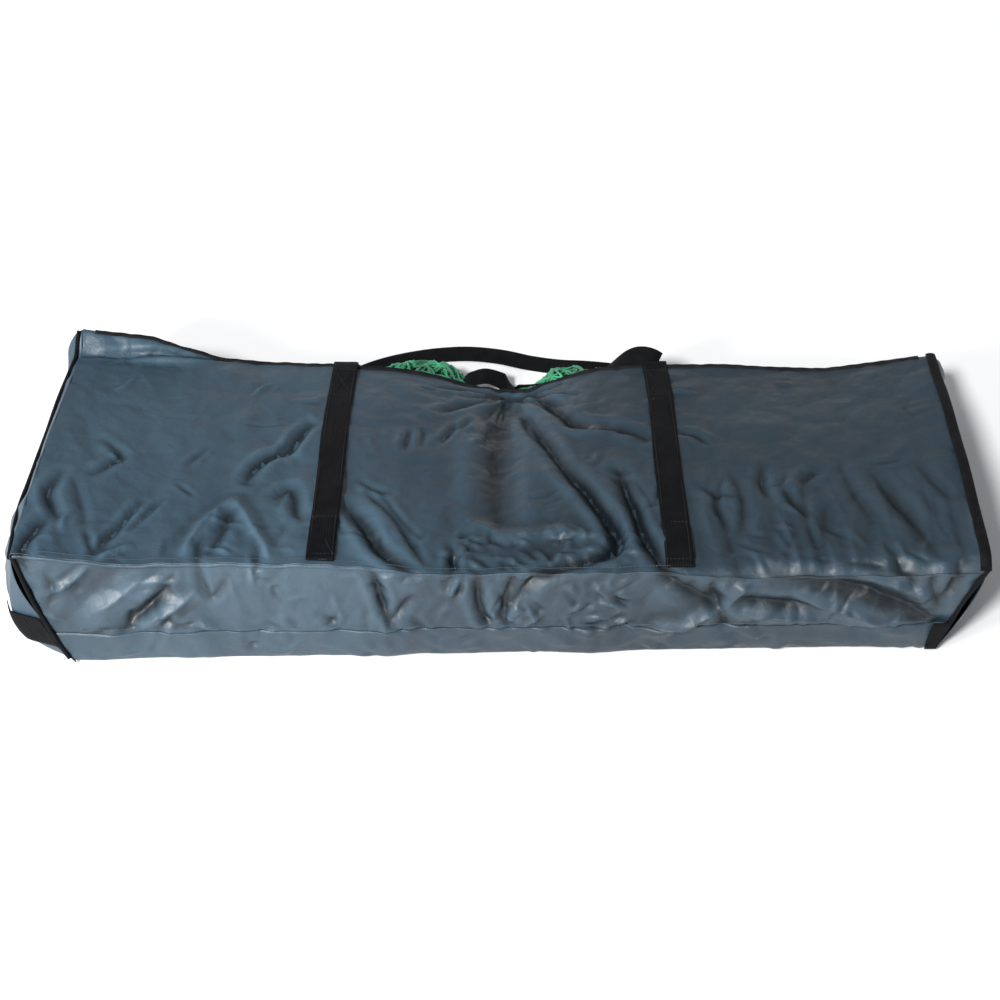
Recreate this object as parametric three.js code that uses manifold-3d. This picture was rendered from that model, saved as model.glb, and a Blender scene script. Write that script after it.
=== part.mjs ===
// A carry bag with a folded-down hockey goal packed inside it, lying on its back panel.
// Millimetres, +Z up, X along the bag, -Y the base gusset, +Y the mouth.
import * as THREE from "three";
import { mergeVertices } from "three/addons/utils/BufferGeometryUtils.js";
import Module from "manifold-3d";

const wasm = await Module();
wasm.setup();

// Driving dimensions of the bag.
const SEAM_Y = -270; // the stitched seam between front panel and base gusset
const TUCK_Y = -284; // the seam where the back panel is turned up to the base gusset
const TUCK_Z = 56;
const LIP_Y = 270; // the free edge of the front panel at the mouth
const CLOTH = 3; // thickness that stands for cloth and its lining
const INSET = 4; // how far a panel stops short of an edge that carries a binding
const BINDING_R = 2.4;
const FLOOR_GAP = 2.8; // the back straps lift the back panel this far
const STRAP_W = 38;
const STRAP_T = 2.2;
const STRAP_X = [-238, 238];
const STRAP_NAME = ["left", "right"];
const STRAP_LIFT = 1.6; // clearance of a front strap over the panel

// Driving dimensions of the zip.
const ZIP_Y = 272.4;
const TAPE_T = 1.6;
const TAPE_W = 13;
const CHAIN = 4;
const ZIP_GAP = 3.8; // between the two chains where the zip is closed
const ZIP_DROP = 20.4; // from the front lip down to the middle of the closed zip
const CLOSED_LEFT = -470; // the zip is closed from here to the left corner
const CLOSED_RIGHT = 510;
const LEFT_SLOPE = -0.115;
const RIGHT_SLOPE = 0.17;
const MOUTH_LEFT = -628;
const MOUTH_RIGHT = 655;

// Driving dimensions of the packed goal.
const TUBE_R = 19;
const TUBE_WALL = 1.6;
const TUBE_Z = 29;
const ROW = 43; // from one tube to the next
const POST_LENGTH = 1200;
const HALF_LENGTH = 905; // half of a crossbar or base bar
const SIDE_LENGTH = 560;
const BRACE_LENGTH = 1060;
const SPIGOT_R = 16.6;
const SPIGOT_LENGTH = 170;
const BUTTON_R = 3.9;
const NET_HALF = 226; // the bundled net reaches this far to each side

const CLOTH_COLOUR = 0x5a6c7b;
const BASE_COLOUR = 0x71859a;
const WEBBING_COLOUR = 0x101216;
const NET_COLOUR = 0x128a5c;
const STEEL_COLOUR = 0xb9281f;

const bag = new THREE.Group();
const V = (x, y, z) => new THREE.Vector3(x, y, z);
const { lerp, smoothstep } = THREE.MathUtils;
const steps = (count) => Array.from({ length: count + 1 }, (_, i) => i / count);

function add(name, geometry, colour, roughness = 0.6, metalness = 0, parent = bag) {
  const material = new THREE.MeshStandardMaterial({ color: colour, roughness, metalness });
  const mesh = new THREE.Mesh(geometry, material);
  mesh.name = name;
  parent.add(mesh);
  return mesh;
}

// ---- closed meshes -------------------------------------------------------

function solidFromFaces(points, faces) {
  const geometry = new THREE.BufferGeometry();
  const flat = points.flatMap((p) => [p.x, p.y, p.z]);
  let volume = 0;
  for (const [a, b, c] of faces) {
    volume += points[a].dot(V(0, 0, 0).crossVectors(points[b], points[c]));
  }
  const index = faces.flatMap(([a, b, c]) => (volume < 0 ? [a, c, b] : [a, b, c]));
  geometry.setAttribute("position", new THREE.Float32BufferAttribute(flat, 3));
  geometry.setIndex(index);
  geometry.computeVertexNormals();
  return geometry;
}

function quad(faces, a, b, c, d) {
  faces.push([a, b, c], [a, c, d]);
}

// A sheet of the given thickness below the surface point(u, v), closed on its four sides.
function sheet(point, us, vs, thickness) {
  const step = 1e-3;
  const outer = [];
  const inner = [];
  for (const u of us) {
    for (const v of vs) {
      const p = point(u, v);
      const du = point(Math.min(u + step, 1), v).sub(point(Math.max(u - step, 0), v));
      const dv = point(u, Math.min(v + step, 1)).sub(point(u, Math.max(v - step, 0)));
      outer.push(p);
      inner.push(p.clone().addScaledVector(du.cross(dv).normalize(), -thickness));
    }
  }
  const n = vs.length;
  const m = us.length;
  const skip = outer.length;
  const faces = [];
  for (let i = 0; i < m - 1; i++) {
    for (let j = 0; j < n - 1; j++) {
      const a = i * n + j;
      quad(faces, a, a + n, a + n + 1, a + 1);
      quad(faces, skip + a, skip + a + 1, skip + a + n + 1, skip + a + n);
    }
  }
  for (let i = 0; i < m - 1; i++) {
    const near = i * n;
    const far = i * n + n - 1;
    quad(faces, near, skip + near, skip + near + n, near + n);
    quad(faces, far, far + n, skip + far + n, skip + far);
  }
  for (let j = 0; j < n - 1; j++) {
    const last = (m - 1) * n + j;
    quad(faces, j, j + 1, skip + j + 1, skip + j);
    quad(faces, last, skip + last, skip + last + 1, last + 1);
  }
  return solidFromFaces([...outer, ...inner], faces);
}

// A solid through closed convex rings of points, flat at both ends.
function loft(rings) {
  const n = rings[0].length;
  const faces = [];
  for (let r = 0; r < rings.length - 1; r++) {
    for (let i = 0; i < n; i++) {
      const next = (i + 1) % n;
      quad(faces, r * n + i, r * n + next, (r + 1) * n + next, (r + 1) * n + i);
    }
  }
  const last = (rings.length - 1) * n;
  for (let i = 1; i < n - 1; i++) {
    faces.push([0, i + 1, i], [last, last + i, last + i + 1]);
  }
  return solidFromFaces(rings.flat(), faces);
}

// A flat band through the points of path; side(i) is the direction across it.
function band(path, across, width, thickness) {
  const rings = path.map((p, i) => {
    const before = path[Math.max(i - 1, 0)];
    const after = path[Math.min(i + 1, path.length - 1)];
    const along = after.clone().sub(before).normalize();
    const side = across(i, along).normalize();
    const up = side.clone().cross(along).normalize();
    return [[-1, -1], [1, -1], [1, 1], [-1, 1]].map(([s, t]) =>
      p.clone().addScaledVector(side, (s * width) / 2).addScaledVector(up, (t * thickness) / 2));
  });
  return loft(rings);
}

// A round cord through the points.
function cord(points, radius) {
  const path = new THREE.CatmullRomCurve3(points);
  const section = new THREE.Shape().absarc(0, 0, radius, 0, Math.PI * 2);
  return new THREE.ExtrudeGeometry(section, {
    steps: points.length - 1,
    curveSegments: 4,
    extrudePath: path,
  });
}

// A tube along +X with its bore, from 0 to length.
function tube(length, outer, inner, segments = 16) {
  const profile = [[inner, 0], [outer, 0], [outer, length], [inner, length], [inner, 0]];
  const points = profile.map(([r, h]) => new THREE.Vector2(r, h));
  return new THREE.LatheGeometry(points, segments).rotateZ(-Math.PI / 2);
}

function toSolid(geometry) {
  const bare = geometry.clone();
  bare.deleteAttribute("normal");
  bare.deleteAttribute("uv");
  const merged = mergeVertices(bare, 1e-3);
  return new wasm.Manifold(new wasm.Mesh({
    numProp: 3,
    vertProperties: merged.attributes.position.array,
    triVerts: new Uint32Array(merged.index.array),
  }));
}

function toGeometry(solid) {
  const { vertProperties, triVerts } = solid.getMesh();
  const geometry = new THREE.BufferGeometry();
  geometry.setAttribute("position", new THREE.BufferAttribute(vertProperties, 3));
  geometry.setIndex(new THREE.BufferAttribute(triVerts, 1));
  return geometry;
}

function box(x0, x1, y0, y1, z0, z1) {
  const geometry = new THREE.BoxGeometry(x1 - x0, y1 - y0, z1 - z0);
  return geometry.translate((x0 + x1) / 2, (y0 + y1) / 2, (z0 + z1) / 2);
}

const join = (...parts) => toGeometry(parts.map(toSolid).reduce((a, b) => a.add(b)));
const cut = (body, ...tools) => toGeometry(tools.map(toSolid).reduce((a, b) => a.subtract(b), toSolid(body)));

// ---- the shape of the bag ------------------------------------------------

// Height of the seam: held up by the packed goal at both ends, sagging between.
function seamZ(x) {
  if (x > 0) return 150 + (12 * x) / 650;
  return 150 + 18 * smoothstep(-x, 60, 280) + 15 * smoothstep(-x, 500, 650);
}

// Height of the front lip: it sags to a V over the net and rises to both corners.
function lipZ(x) {
  const dip = 50 * Math.exp(-(((x - 18) / (x < 18 ? 120 : 92)) ** 2));
  if (x < -300) return 82 + (x + 300) * LEFT_SLOPE - dip;
  if (x > 300 && x < 500) return lerp(84, 76, (x - 300) / 200) - dip;
  if (x >= 500) return 76 + (x - 500) * RIGHT_SLOPE;
  return lerp(82, 84, (x + 300) / 600) - dip;
}

const frontLeft = (t) => lerp(-646, -632, t);
const frontRight = (t) => lerp(647, 660, t);

// Outer surface of the front panel; t runs from the seam to the lip.
function frontPoint(x, t) {
  const bulge = 15 * Math.sin(Math.PI * t) ** 0.8;
  return V(x, lerp(SEAM_Y, LIP_Y, t), lerp(seamZ(x), lipZ(x), t) + bulge);
}

// The end edges of the base gusset and of the turned-up part below it.
const gussetLeft = (z) => -575 - 68 * (z / 178) ** 0.8;
const gussetRight = (z) => 592 + 54 * (z / 162) ** 1.3;
const gussetY = (z) => lerp(TUCK_Y, SEAM_Y, Math.max(z - TUCK_Z, 0) / (160 - TUCK_Z));

// The side edges of the back panel.
const backLeft = (y) => -578 - 62 * (1 - Math.exp(-Math.max(y - TUCK_Y, 0) / 110));
const backRight = (y) => 595 + 56 * (1 - Math.exp(-Math.max(y - TUCK_Y, 0) / 110));

// 1 where the back edge is zipped to the front one, 0 where it lies on the floor.
const zipped = (x) => 1 - smoothstep(x, CLOSED_LEFT, -330) * (1 - smoothstep(x, 400, CLOSED_RIGHT));
const backLipZ = (x) => Math.max(lipZ(x) - 43, 0) * zipped(x);
const backLipY = (x) => lerp(295, LIP_Y, zipped(x));
const backRise = (x, y) => backLipZ(x) * smoothstep(y, 60, LIP_Y + 20) / smoothstep(LIP_Y, 60, LIP_Y + 20);

// Stations along the mouth: close together where the back edge drops to the floor.
const span = (count, from, to) => steps(count).map((s) => lerp(from, to, s));
const chainXs = [MOUTH_LEFT + 14, ...span(7, CLOSED_LEFT, -330), ...span(15, -290, 370),
  ...span(7, 400, CLOSED_RIGHT), MOUTH_RIGHT - 14];

// Outer (lower) surface of the back panel; v runs from the turned-up edge to the back lip.
const TURN = 0.12; // share of v spent on the turned-up part
function backPoint(x, v) {
  if (v < TURN) {
    const s = v / TURN;
    return V(x, lerp(TUCK_Y, TUCK_Y + 10, s ** 4), lerp(TUCK_Z - 1, FLOOR_GAP, Math.sin((s * Math.PI) / 2)));
  }
  const y = lerp(TUCK_Y + 10, backLipY(x), (v - TURN) / (1 - TURN));
  return V(x, y, FLOOR_GAP + Math.min(backRise(x, y), backLipZ(x)));
}

function frontPanel() {
  const point = (u, v) => frontPoint(lerp(frontLeft(v) + INSET, frontRight(v) - INSET, u), v);
  return sheet(point, steps(30), steps(10), CLOTH);
}

function baseGusset() {
  const point = (u, v) => {
    const middle = lerp(-640, 640, u);
    const z = lerp(TUCK_Z + 1, seamZ(middle) - CLOTH - 1.2, v);
    return V(lerp(gussetLeft(z) + INSET, gussetRight(z) - INSET, u), gussetY(z) - 1, z);
  };
  return sheet(point, steps(30), steps(2), CLOTH);
}

function backPanel() {
  const turn = [0, 0.3, 0.6, 0.8, 1].map((s) => s * TURN);
  const lipLeft = backLeft(LIP_Y) + INSET;
  const lipRight = backRight(LIP_Y) - INSET;
  const across = [0, ...chainXs.map((x) => (x - lipLeft) / (lipRight - lipLeft)), 1];
  const flat = steps(9).slice(1).map((s) => TURN + s * (1 - TURN));
  const point = (u, v) => {
    const y = lerp(TUCK_Y, LIP_Y, Math.max(v - TURN, 0) / (1 - TURN));
    return backPoint(lerp(backLeft(y) + INSET, backRight(y) - INSET, u), v);
  };
  const mirrored = across.map((u) => 1 - u).reverse();
  return sheet((u, v) => point(1 - u, v), mirrored, [...turn, ...flat], CLOTH);
}

// side is -1 for the left end and 1 for the right end.
const frontEdge = (side, t) => frontPoint(side < 0 ? frontLeft(t) : frontRight(t), t);
const endStations = steps(12);

function backEdge(side, y) {
  const x = side < 0 ? backLeft(y) : backRight(y);
  return V(x, y, FLOOR_GAP + 0.2 + backRise(x, y));
}

function endPanel(side) {
  const point = (u, v) => {
    const low = gussetY(lerp(10, 170, v)) + INSET + 1;
    const y = lerp(low, LIP_Y - 2, u);
    const t = (y - SEAM_Y) / (LIP_Y - SEAM_Y);
    const top = frontEdge(side, Math.max(t, 0));
    const bottom = backEdge(side, y);
    const bulge = 24 * smoothstep(y, low, -120) * Math.sin(Math.PI * v);
    const x = lerp(bottom.x, top.x, v ** 0.8) + side * bulge;
    return V(x, y, lerp(bottom.z + INSET + 2, top.z - INSET, v));
  };
  return sheet(side < 0 ? (u, v) => point(1 - u, v) : point, endStations, steps(5), CLOTH);
}

// ---- bindings, straps and handles ----------------------------------------

function addBindings(side, name) {
  const front = endStations.map((t) => frontEdge(side, lerp(0.01, 0.985, t)));
  add("binding_front_" + name, cord(front, BINDING_R), WEBBING_COLOUR);
  const base = steps(6).map((s) => {
    const z = lerp(14, seamZ(side * 645) - 9, s);
    return V((side < 0 ? gussetLeft(z) : gussetRight(z)) + side * 1.5, gussetY(z) - 2, z);
  });
  add("binding_base_" + name, cord(base, BINDING_R), WEBBING_COLOUR);
  const back = endStations.map((s) => backEdge(side, lerp(TUCK_Y + 12, LIP_Y - 6, s)));
  add("binding_back_" + name, cord(back, BINDING_R), WEBBING_COLOUR);
}

function frontStrap(x) {
  const lift = STRAP_LIFT + STRAP_T / 2;
  const path = steps(12).map((s) => frontPoint(x, lerp(0.015, 0.995, s)).add(V(0, 0, lift)));
  path.push(V(x, LIP_Y + 9, lipZ(x) + 1));
  return band(path, () => V(1, 0, 0), STRAP_W, STRAP_T);
}

function backStrap(x) {
  return box(x - STRAP_W / 2, x + STRAP_W / 2, -262, 290, 0, STRAP_T);
}

// A half-ellipse of webbing from strap to strap, flat in the XY plane, ends at y = 0.
function handleLoop(reach) {
  const half = STRAP_X[1];
  const path = steps(24).map((s) => {
    const turn = Math.PI * s;
    return V(-half * Math.cos(turn), 8 + reach * Math.sin(turn), 0);
  });
  return band(path, (i, along) => V(0, 0, 1).cross(along), STRAP_W, 2.4);
}

function addHandles() {
  const front = new THREE.Group();
  front.position.set(0, LIP_Y + 15, 86);
  front.rotation.x = THREE.MathUtils.degToRad(-33);
  bag.add(front);
  add("front_handle", handleLoop(56), WEBBING_COLOUR, 0.7, 0, front);
  const back = new THREE.Group();
  back.position.set(0, 292, 1.3);
  bag.add(back);
  add("back_handle", handleLoop(104), WEBBING_COLOUR, 0.7, 0, back);
}

function cornerPatch(side) {
  const edge = side < 0 ? gussetLeft : gussetRight;
  const point = (u, v) => {
    const z = lerp(8, 62, v);
    const reach = lerp(34, 12, v);
    return V(edge(z) - side * (8 + u * reach), gussetY(z) - 3.6, z);
  };
  return sheet(point, steps(2), steps(3), 1.4);
}

// ---- the zip -------------------------------------------------------------

// A strip along the mouth that leaves root(x) at angle(x), 90 degrees being up, from one reach to another.
function strip(root, angle, from, to, thickness) {
  const rings = chainXs.map((x) => {
    const turn = THREE.MathUtils.degToRad(angle(x));
    const out = V(0, Math.cos(turn), Math.sin(turn));
    const face = V(0, -Math.sin(turn), Math.cos(turn)).multiplyScalar(thickness / 2);
    const near = root(x).addScaledVector(out, from);
    const far = root(x).addScaledVector(out, to);
    return [near.clone().sub(face), far.clone().sub(face), far.add(face), near.add(face)];
  });
  return loft(rings);
}

const closedZ = (x) => lipZ(x) - ZIP_DROP;
const TAPE_GAP = 0.4; // between a tape and its chain

// Where each tape starts: just outside the lip it is sewn to.
const frontRoot = (x) => V(x, ZIP_Y, closedZ(x) + ZIP_GAP / 2 + CHAIN + TAPE_GAP + TAPE_W);
function backRoot(x) {
  const closed = closedZ(x) - ZIP_GAP / 2 - CHAIN - TAPE_GAP - TAPE_W;
  return V(x, backLipY(x) + ZIP_Y - LIP_Y, lerp(FLOOR_GAP + CLOTH + 1.4, closed, zipped(x)));
}

function addZip() {
  const down = () => -90;
  const turning = (x) => lerp(174, 90, zipped(x));
  const chainFrom = TAPE_W + TAPE_GAP;
  add("front_zip_tape", strip(frontRoot, down, 0, TAPE_W, TAPE_T), WEBBING_COLOUR);
  add("front_zip_chain", strip(frontRoot, down, chainFrom, chainFrom + CHAIN, CHAIN), WEBBING_COLOUR, 0.4);
  add("back_zip_tape", strip(backRoot, turning, 0, TAPE_W, TAPE_T), WEBBING_COLOUR);
  add("back_zip_chain", strip(backRoot, turning, chainFrom, chainFrom + CHAIN, CHAIN), WEBBING_COLOUR, 0.4);
}

// The slider straddles both chains; its web runs in the gap between them.
function sliderBody() {
  const inside = CHAIN / 2 + 0.5;
  const outside = inside + 1.4;
  return join(
    box(-8, 8, inside, outside, -7.5, 7.5),
    box(-8, 8, -outside, -inside, -7.5, 7.5),
    box(-4, 4, -outside + 0.3, outside - 0.3, -1.4, 1.4),
    box(-5, -3, outside - 0.3, outside + 4.6, -1.2, 1.2),
    box(3, 5, outside - 0.3, outside + 4.6, -1.2, 1.2),
    box(-5, 5, outside + 3.2, outside + 4.6, -1.2, 1.2),
  );
}

const PULL_Y = 5.6; // the pull's crossbar, inside the bridge of the slider

function pullTab() {
  return join(
    box(-0.8, 0.8, PULL_Y - 0.7, PULL_Y + 0.7, -3.6, 3.6),
    box(-0.8, 12, PULL_Y - 0.7, PULL_Y + 0.7, -3.6, -1.8),
    box(-0.8, 12, PULL_Y - 0.7, PULL_Y + 0.7, 1.8, 3.6),
    box(9, 32, PULL_Y - 0.7, PULL_Y + 0.7, -4.5, 4.5),
  );
}

function addSlider(name, x, slope, turn) {
  const group = new THREE.Group();
  group.position.set(x, ZIP_Y, closedZ(x));
  group.rotation.y = -Math.atan(slope);
  bag.add(group);
  add("zip_slider_" + name, sliderBody(), WEBBING_COLOUR, 0.35, 0.6, group);
  const tab = pullTab();
  if (turn) tab.rotateY(Math.PI);
  add("zip_pull_" + name, tab, WEBBING_COLOUR, 0.35, 0.6, group);
}

function addEndStop(name, x, slope) {
  const group = new THREE.Group();
  group.position.set(x, ZIP_Y, closedZ(x));
  group.rotation.y = -Math.atan(slope);
  bag.add(group);
  add("zip_end_stop_" + name, box(-3, 3, -2.6, 2.6, -7, 7), WEBBING_COLOUR, 0.35, 0.6, group);
}

// ---- the packed goal -----------------------------------------------------

function addTube(name, length, x, row, z = TUBE_Z) {
  const geometry = tube(length, TUBE_R, TUBE_R - TUBE_WALL);
  add(name, geometry.translate(x, row, z), STEEL_COLOUR, 0.35, 0.3);
}

function addTubes() {
  const first = -232;
  addTube("post_left", POST_LENGTH, -594, first);
  addTube("post_right", POST_LENGTH, -596, first + ROW);
  addTube("crossbar_half_left", HALF_LENGTH, -560, first + 2 * ROW);
  addTube("crossbar_half_right", HALF_LENGTH, -310, first + 3 * ROW);
  addTube("rear_base_half_left", HALF_LENGTH, -560, first + 4 * ROW);
  addTube("rear_base_half_right", HALF_LENGTH, -310, first + 5 * ROW);
  addTube("side_base_left", SIDE_LENGTH, -570, first + 6 * ROW);
  addTube("side_base_right", SIDE_LENGTH, 12, first + 6 * ROW);
  addTube("rear_brace_left", BRACE_LENGTH, -540, first + ROW / 2, TUBE_Z + 38);
  addTube("rear_brace_right", BRACE_LENGTH, -530, first + 1.5 * ROW, TUBE_Z + 38);
}

// A spigot sits half inside a tube's end and carries a sprung button.
function addSpigot(name, x, y) {
  const group = new THREE.Group();
  group.position.set(x, y, TUBE_Z);
  group.rotation.z = Math.PI;
  bag.add(group);
  const reach = SPIGOT_LENGTH / 2;
  const body = tube(SPIGOT_LENGTH, SPIGOT_R, SPIGOT_R - 2).translate(-reach, 0, 0);
  const hole = new THREE.CylinderGeometry(BUTTON_R + 0.4, BUTTON_R + 0.4, 20, 12);
  hole.rotateX(Math.PI / 2).translate(reach - 40, 0, SPIGOT_R);
  add(name + "_spigot", cut(body, hole), STEEL_COLOUR, 0.35, 0.5, group);
  const profile = [[0, 10.2], [5.6, 10.2], [5.6, 11.6], [BUTTON_R, 11.6], [BUTTON_R, 19.5], [2.2, 21.4], [0, 21.8]];
  const button = new THREE.LatheGeometry(profile.map(([r, h]) => new THREE.Vector2(r, h)), 14);
  button.rotateX(Math.PI / 2).translate(reach - 40, 0, 0);
  add(name + "_button", button, 0xc9ccd0, 0.3, 0.8, group);
  const spine = [V(reach - 34, 0, 9.4), V(reach - 48, 0, 9), V(reach - 66, 0, 1), V(reach - 46, 0, -6), V(reach - 32, 0, -6.6)];
  add(name + "_button_spring", band(spine, () => V(0, 1, 0), 6, 0.8), 0xc9ccd0, 0.3, 0.8, group);
}

// A corner elbow: a quarter bend with two straight sockets, lying flat.
function elbow() {
  const bend = 34;
  const straight = 36;
  const path = [V(0, -straight, 0), V(0, 0, 0)];
  for (const s of steps(6)) {
    const turn = (s * Math.PI) / 2;
    path.push(V(bend * (1 - Math.cos(turn)), bend * Math.sin(turn), 0));
  }
  path.push(V(bend + straight, bend, 0));
  path.splice(1, 1);
  const sides = 12;
  const outer = 21.5;
  const inner = 19.4;
  const points = [];
  path.forEach((p, i) => {
    const along = path[Math.min(i + 1, path.length - 1)].clone().sub(path[Math.max(i - 1, 0)]).normalize();
    const side = along.clone().cross(V(0, 0, 1));
    for (const radius of [outer, inner]) {
      for (let k = 0; k < sides; k++) {
        const a = (2 * Math.PI * k) / sides;
        points.push(p.clone().addScaledVector(side, radius * Math.cos(a)).add(V(0, 0, radius * Math.sin(a))));
      }
    }
  });
  const faces = [];
  const ring = 2 * sides;
  for (let k = 0; k < sides; k++) {
    const n = (k + 1) % sides;
    for (let i = 0; i < path.length - 1; i++) {
      quad(faces, i * ring + k, (i + 1) * ring + k, (i + 1) * ring + n, i * ring + n);
      const a = i * ring + sides;
      quad(faces, a + k, a + n, a + ring + n, a + ring + k);
    }
    const end = (path.length - 1) * ring;
    quad(faces, k, n, sides + n, sides + k);
    quad(faces, end + k, end + sides + k, end + sides + n, end + n);
  }
  return solidFromFaces(points, faces);
}

function addElbows() {
  ["upper_left", "upper_right", "lower_left", "lower_right"].forEach((name, i) => {
    add("corner_elbow_" + name, elbow().translate(-300 + 110 * i, 90, TUBE_Z + 2), 0x1b1d20, 0.5);
  });
}

// ---- the net -------------------------------------------------------------

// 1 where the net spills out of the mouth, in a left and a right lobe, and 0 between them.
const lobe = (x) => Math.exp(-(((x + 124) / 62) ** 4)) + Math.exp(-(((x - 128) / 54) ** 4));

function netRing(x) {
  const spill = lobe(x);
  const right = x > 0 ? spill : 0;
  const low = 13.5;
  const roof = Math.min(frontPoint(x, 0.9).z - 24, 62);
  const neck = Math.max(Math.min(closedZ(x) + ZIP_GAP / 2 - 8, 56), 18);
  const out = lerp(262, 330 + 8 * right, spill);
  return [
    V(x, 156, 12), V(x, 258, low), V(x, lerp(261, out - 8, spill), low), V(x, out, low + 4),
    V(x, out - 1, lerp(low + 5, 22 + 12 * right, spill)), V(x, lerp(260, out - 16, spill), lerp(neck, 32 + 12 * right, spill ** 2)),
    V(x, lerp(259, 278, spill), neck), V(x, 256, neck), V(x, 205, Math.max(roof, neck)), V(x, 156, roof - 8),
  ];
}

function netBundle() {
  return loft(steps(26).map((s) => netRing(lerp(-NET_HALF, NET_HALF, s))));
}

function netTie() {
  const x = -14;
  const path = [165, 185, 210, 235, 250].map((y) => V(x, y, netRing(x)[8].z + 7 + (205 - y) * 0.2));
  return band(path, () => V(1, 0, 0), 25, 1.6);
}

// ---- assembly ------------------------------------------------------------

add("front_panel", frontPanel(), CLOTH_COLOUR, 0.45);
add("back_panel", backPanel(), CLOTH_COLOUR, 0.45);
add("base_gusset", baseGusset(), BASE_COLOUR, 0.45);
[-1, 1].forEach((side, i) => {
  add("end_panel_" + STRAP_NAME[i], endPanel(side), CLOTH_COLOUR, 0.45);
  addBindings(side, STRAP_NAME[i]);
  add("corner_patch_" + STRAP_NAME[i], cornerPatch(side), WEBBING_COLOUR, 0.7);
  add("front_strap_" + STRAP_NAME[i], frontStrap(STRAP_X[i]), WEBBING_COLOUR, 0.7);
  add("back_strap_" + STRAP_NAME[i], backStrap(STRAP_X[i]), WEBBING_COLOUR, 0.7);
});
addHandles();
addZip();
addSlider("left", -500, LEFT_SLOPE, false);
addSlider("right", 540, RIGHT_SLOPE, true);
addEndStop("left", MOUTH_LEFT + 9, LEFT_SLOPE);
addEndStop("right", MOUTH_RIGHT - 9, RIGHT_SLOPE);
addTubes();
addSpigot("crossbar", -310, -103);
addSpigot("rear_base", -310, -17);
addElbows();
add("goal_net", netBundle(), NET_COLOUR, 0.8);
add("net_tie", netTie(), WEBBING_COLOUR, 0.8);

// The origin is on the floor under the middle of the whole object.
const object = new THREE.Group();
object.add(bag);
object.updateMatrixWorld(true);
const bounds = new THREE.Box3().setFromObject(bag, true);
const middle = bounds.getCenter(new THREE.Vector3());
bag.position.set(-middle.x, -middle.y, -bounds.min.z);

export default object;
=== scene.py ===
"""A carry bag of coated cloth lying on its back, with a folded-down goal packed inside it."""
import math

import bmesh
import bpy
import numpy as np
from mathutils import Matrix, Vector


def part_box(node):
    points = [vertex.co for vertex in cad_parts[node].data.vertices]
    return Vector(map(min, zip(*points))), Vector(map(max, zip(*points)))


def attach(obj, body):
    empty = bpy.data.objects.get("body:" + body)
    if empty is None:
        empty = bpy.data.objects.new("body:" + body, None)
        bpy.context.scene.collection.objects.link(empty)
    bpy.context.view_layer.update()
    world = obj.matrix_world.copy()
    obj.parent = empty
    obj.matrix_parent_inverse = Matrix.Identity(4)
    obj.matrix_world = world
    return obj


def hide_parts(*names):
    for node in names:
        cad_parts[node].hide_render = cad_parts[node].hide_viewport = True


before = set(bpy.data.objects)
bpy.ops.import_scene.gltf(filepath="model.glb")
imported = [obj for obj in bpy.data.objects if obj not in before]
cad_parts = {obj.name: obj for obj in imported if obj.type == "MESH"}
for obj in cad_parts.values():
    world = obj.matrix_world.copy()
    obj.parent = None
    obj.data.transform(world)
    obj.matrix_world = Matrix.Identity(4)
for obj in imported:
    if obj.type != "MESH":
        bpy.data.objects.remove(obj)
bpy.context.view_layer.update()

MM = 0.001
SIDES = ("left", "right")

# ---- the bag's driving dimensions, in metres, in the bag's own frame ------

SEAM_Y = -0.270       # seam between front panel and base gusset
TUCK_Y = -0.284       # seam where the back panel is turned up
TUCK_Z = 0.056
LIP_Y = 0.270         # free edge of the front panel
DEPTH = LIP_Y - SEAM_Y
FLOOR_GAP = 0.0028
STRAP_X = (-0.238, 0.238)
STRAP_W = 0.038
STRAP_T = 0.0022
STRAP_END_Y = -0.262  # the back straps start here
BINDING_R = 0.0032
CLOTH_T = 0.0012
CLOSED_LEFT, CLOSED_RIGHT = -0.470, 0.510
OPEN_LEFT, OPEN_RIGHT = -0.330, 0.400
MOUTH_LEFT, MOUTH_RIGHT = -0.614, 0.641
ZIP_Y = 0.2724
ZIP_DROP = 0.0204

strap_lo, strap_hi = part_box("back_strap_left")
ORIGIN = np.array([(strap_lo.x + strap_hi.x) / 2 - STRAP_X[0], strap_lo.y - STRAP_END_Y, 0.0])


def mix(a, b, t):
    return a + (b - a) * t


def smooth(x, low, high):
    t = np.clip((x - low) / (high - low), 0, 1)
    return t * t * (3 - 2 * t)


def points(x, y, z):
    x, y, z = np.broadcast_arrays(x, y, z)
    return np.stack([x, y, z], -1).astype(float)


# ---- the shape of the bag --------------------------------------------------

def seam_z(x):
    left = 0.150 + 0.018 * smooth(-x, 0.06, 0.28) + 0.015 * smooth(-x, 0.50, 0.65)
    sway = 0.0012 * np.sin(31 * x + 1) + 0.0009 * np.sin(67 * x) + 0.0006 * np.sin(139 * x + 2)
    return np.where(x > 0, 0.150 + 0.0185 * x, left) + sway


def lip_z(x):
    dip = 0.050 * np.exp(-(((x - 0.018) / np.where(x < 0.018, 0.120, 0.092)) ** 2))
    middle = mix(0.082, 0.084, (x + 0.3) / 0.6)
    z = np.where(x < -0.3, 0.082 - (x + 0.3) * 0.115, middle)
    z = np.where(x > 0.3, mix(0.084, 0.076, (x - 0.3) / 0.2), z)
    point = 0.007 * np.exp(-np.abs((x - 0.020) / 0.022) ** 1.3)
    return np.where(x >= 0.5, 0.076 + (x - 0.5) * 0.17, z - dip - point)


def front_left(t):
    return mix(-0.646, -0.632, t)


def front_right(t):
    return mix(0.647, 0.660, t)


def seam_drop(x):
    """How far the panel rolls over the seam; the right half has no sharp edge."""
    return 0.002 + 0.013 * smooth(x, 0.16, 0.34)


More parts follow.
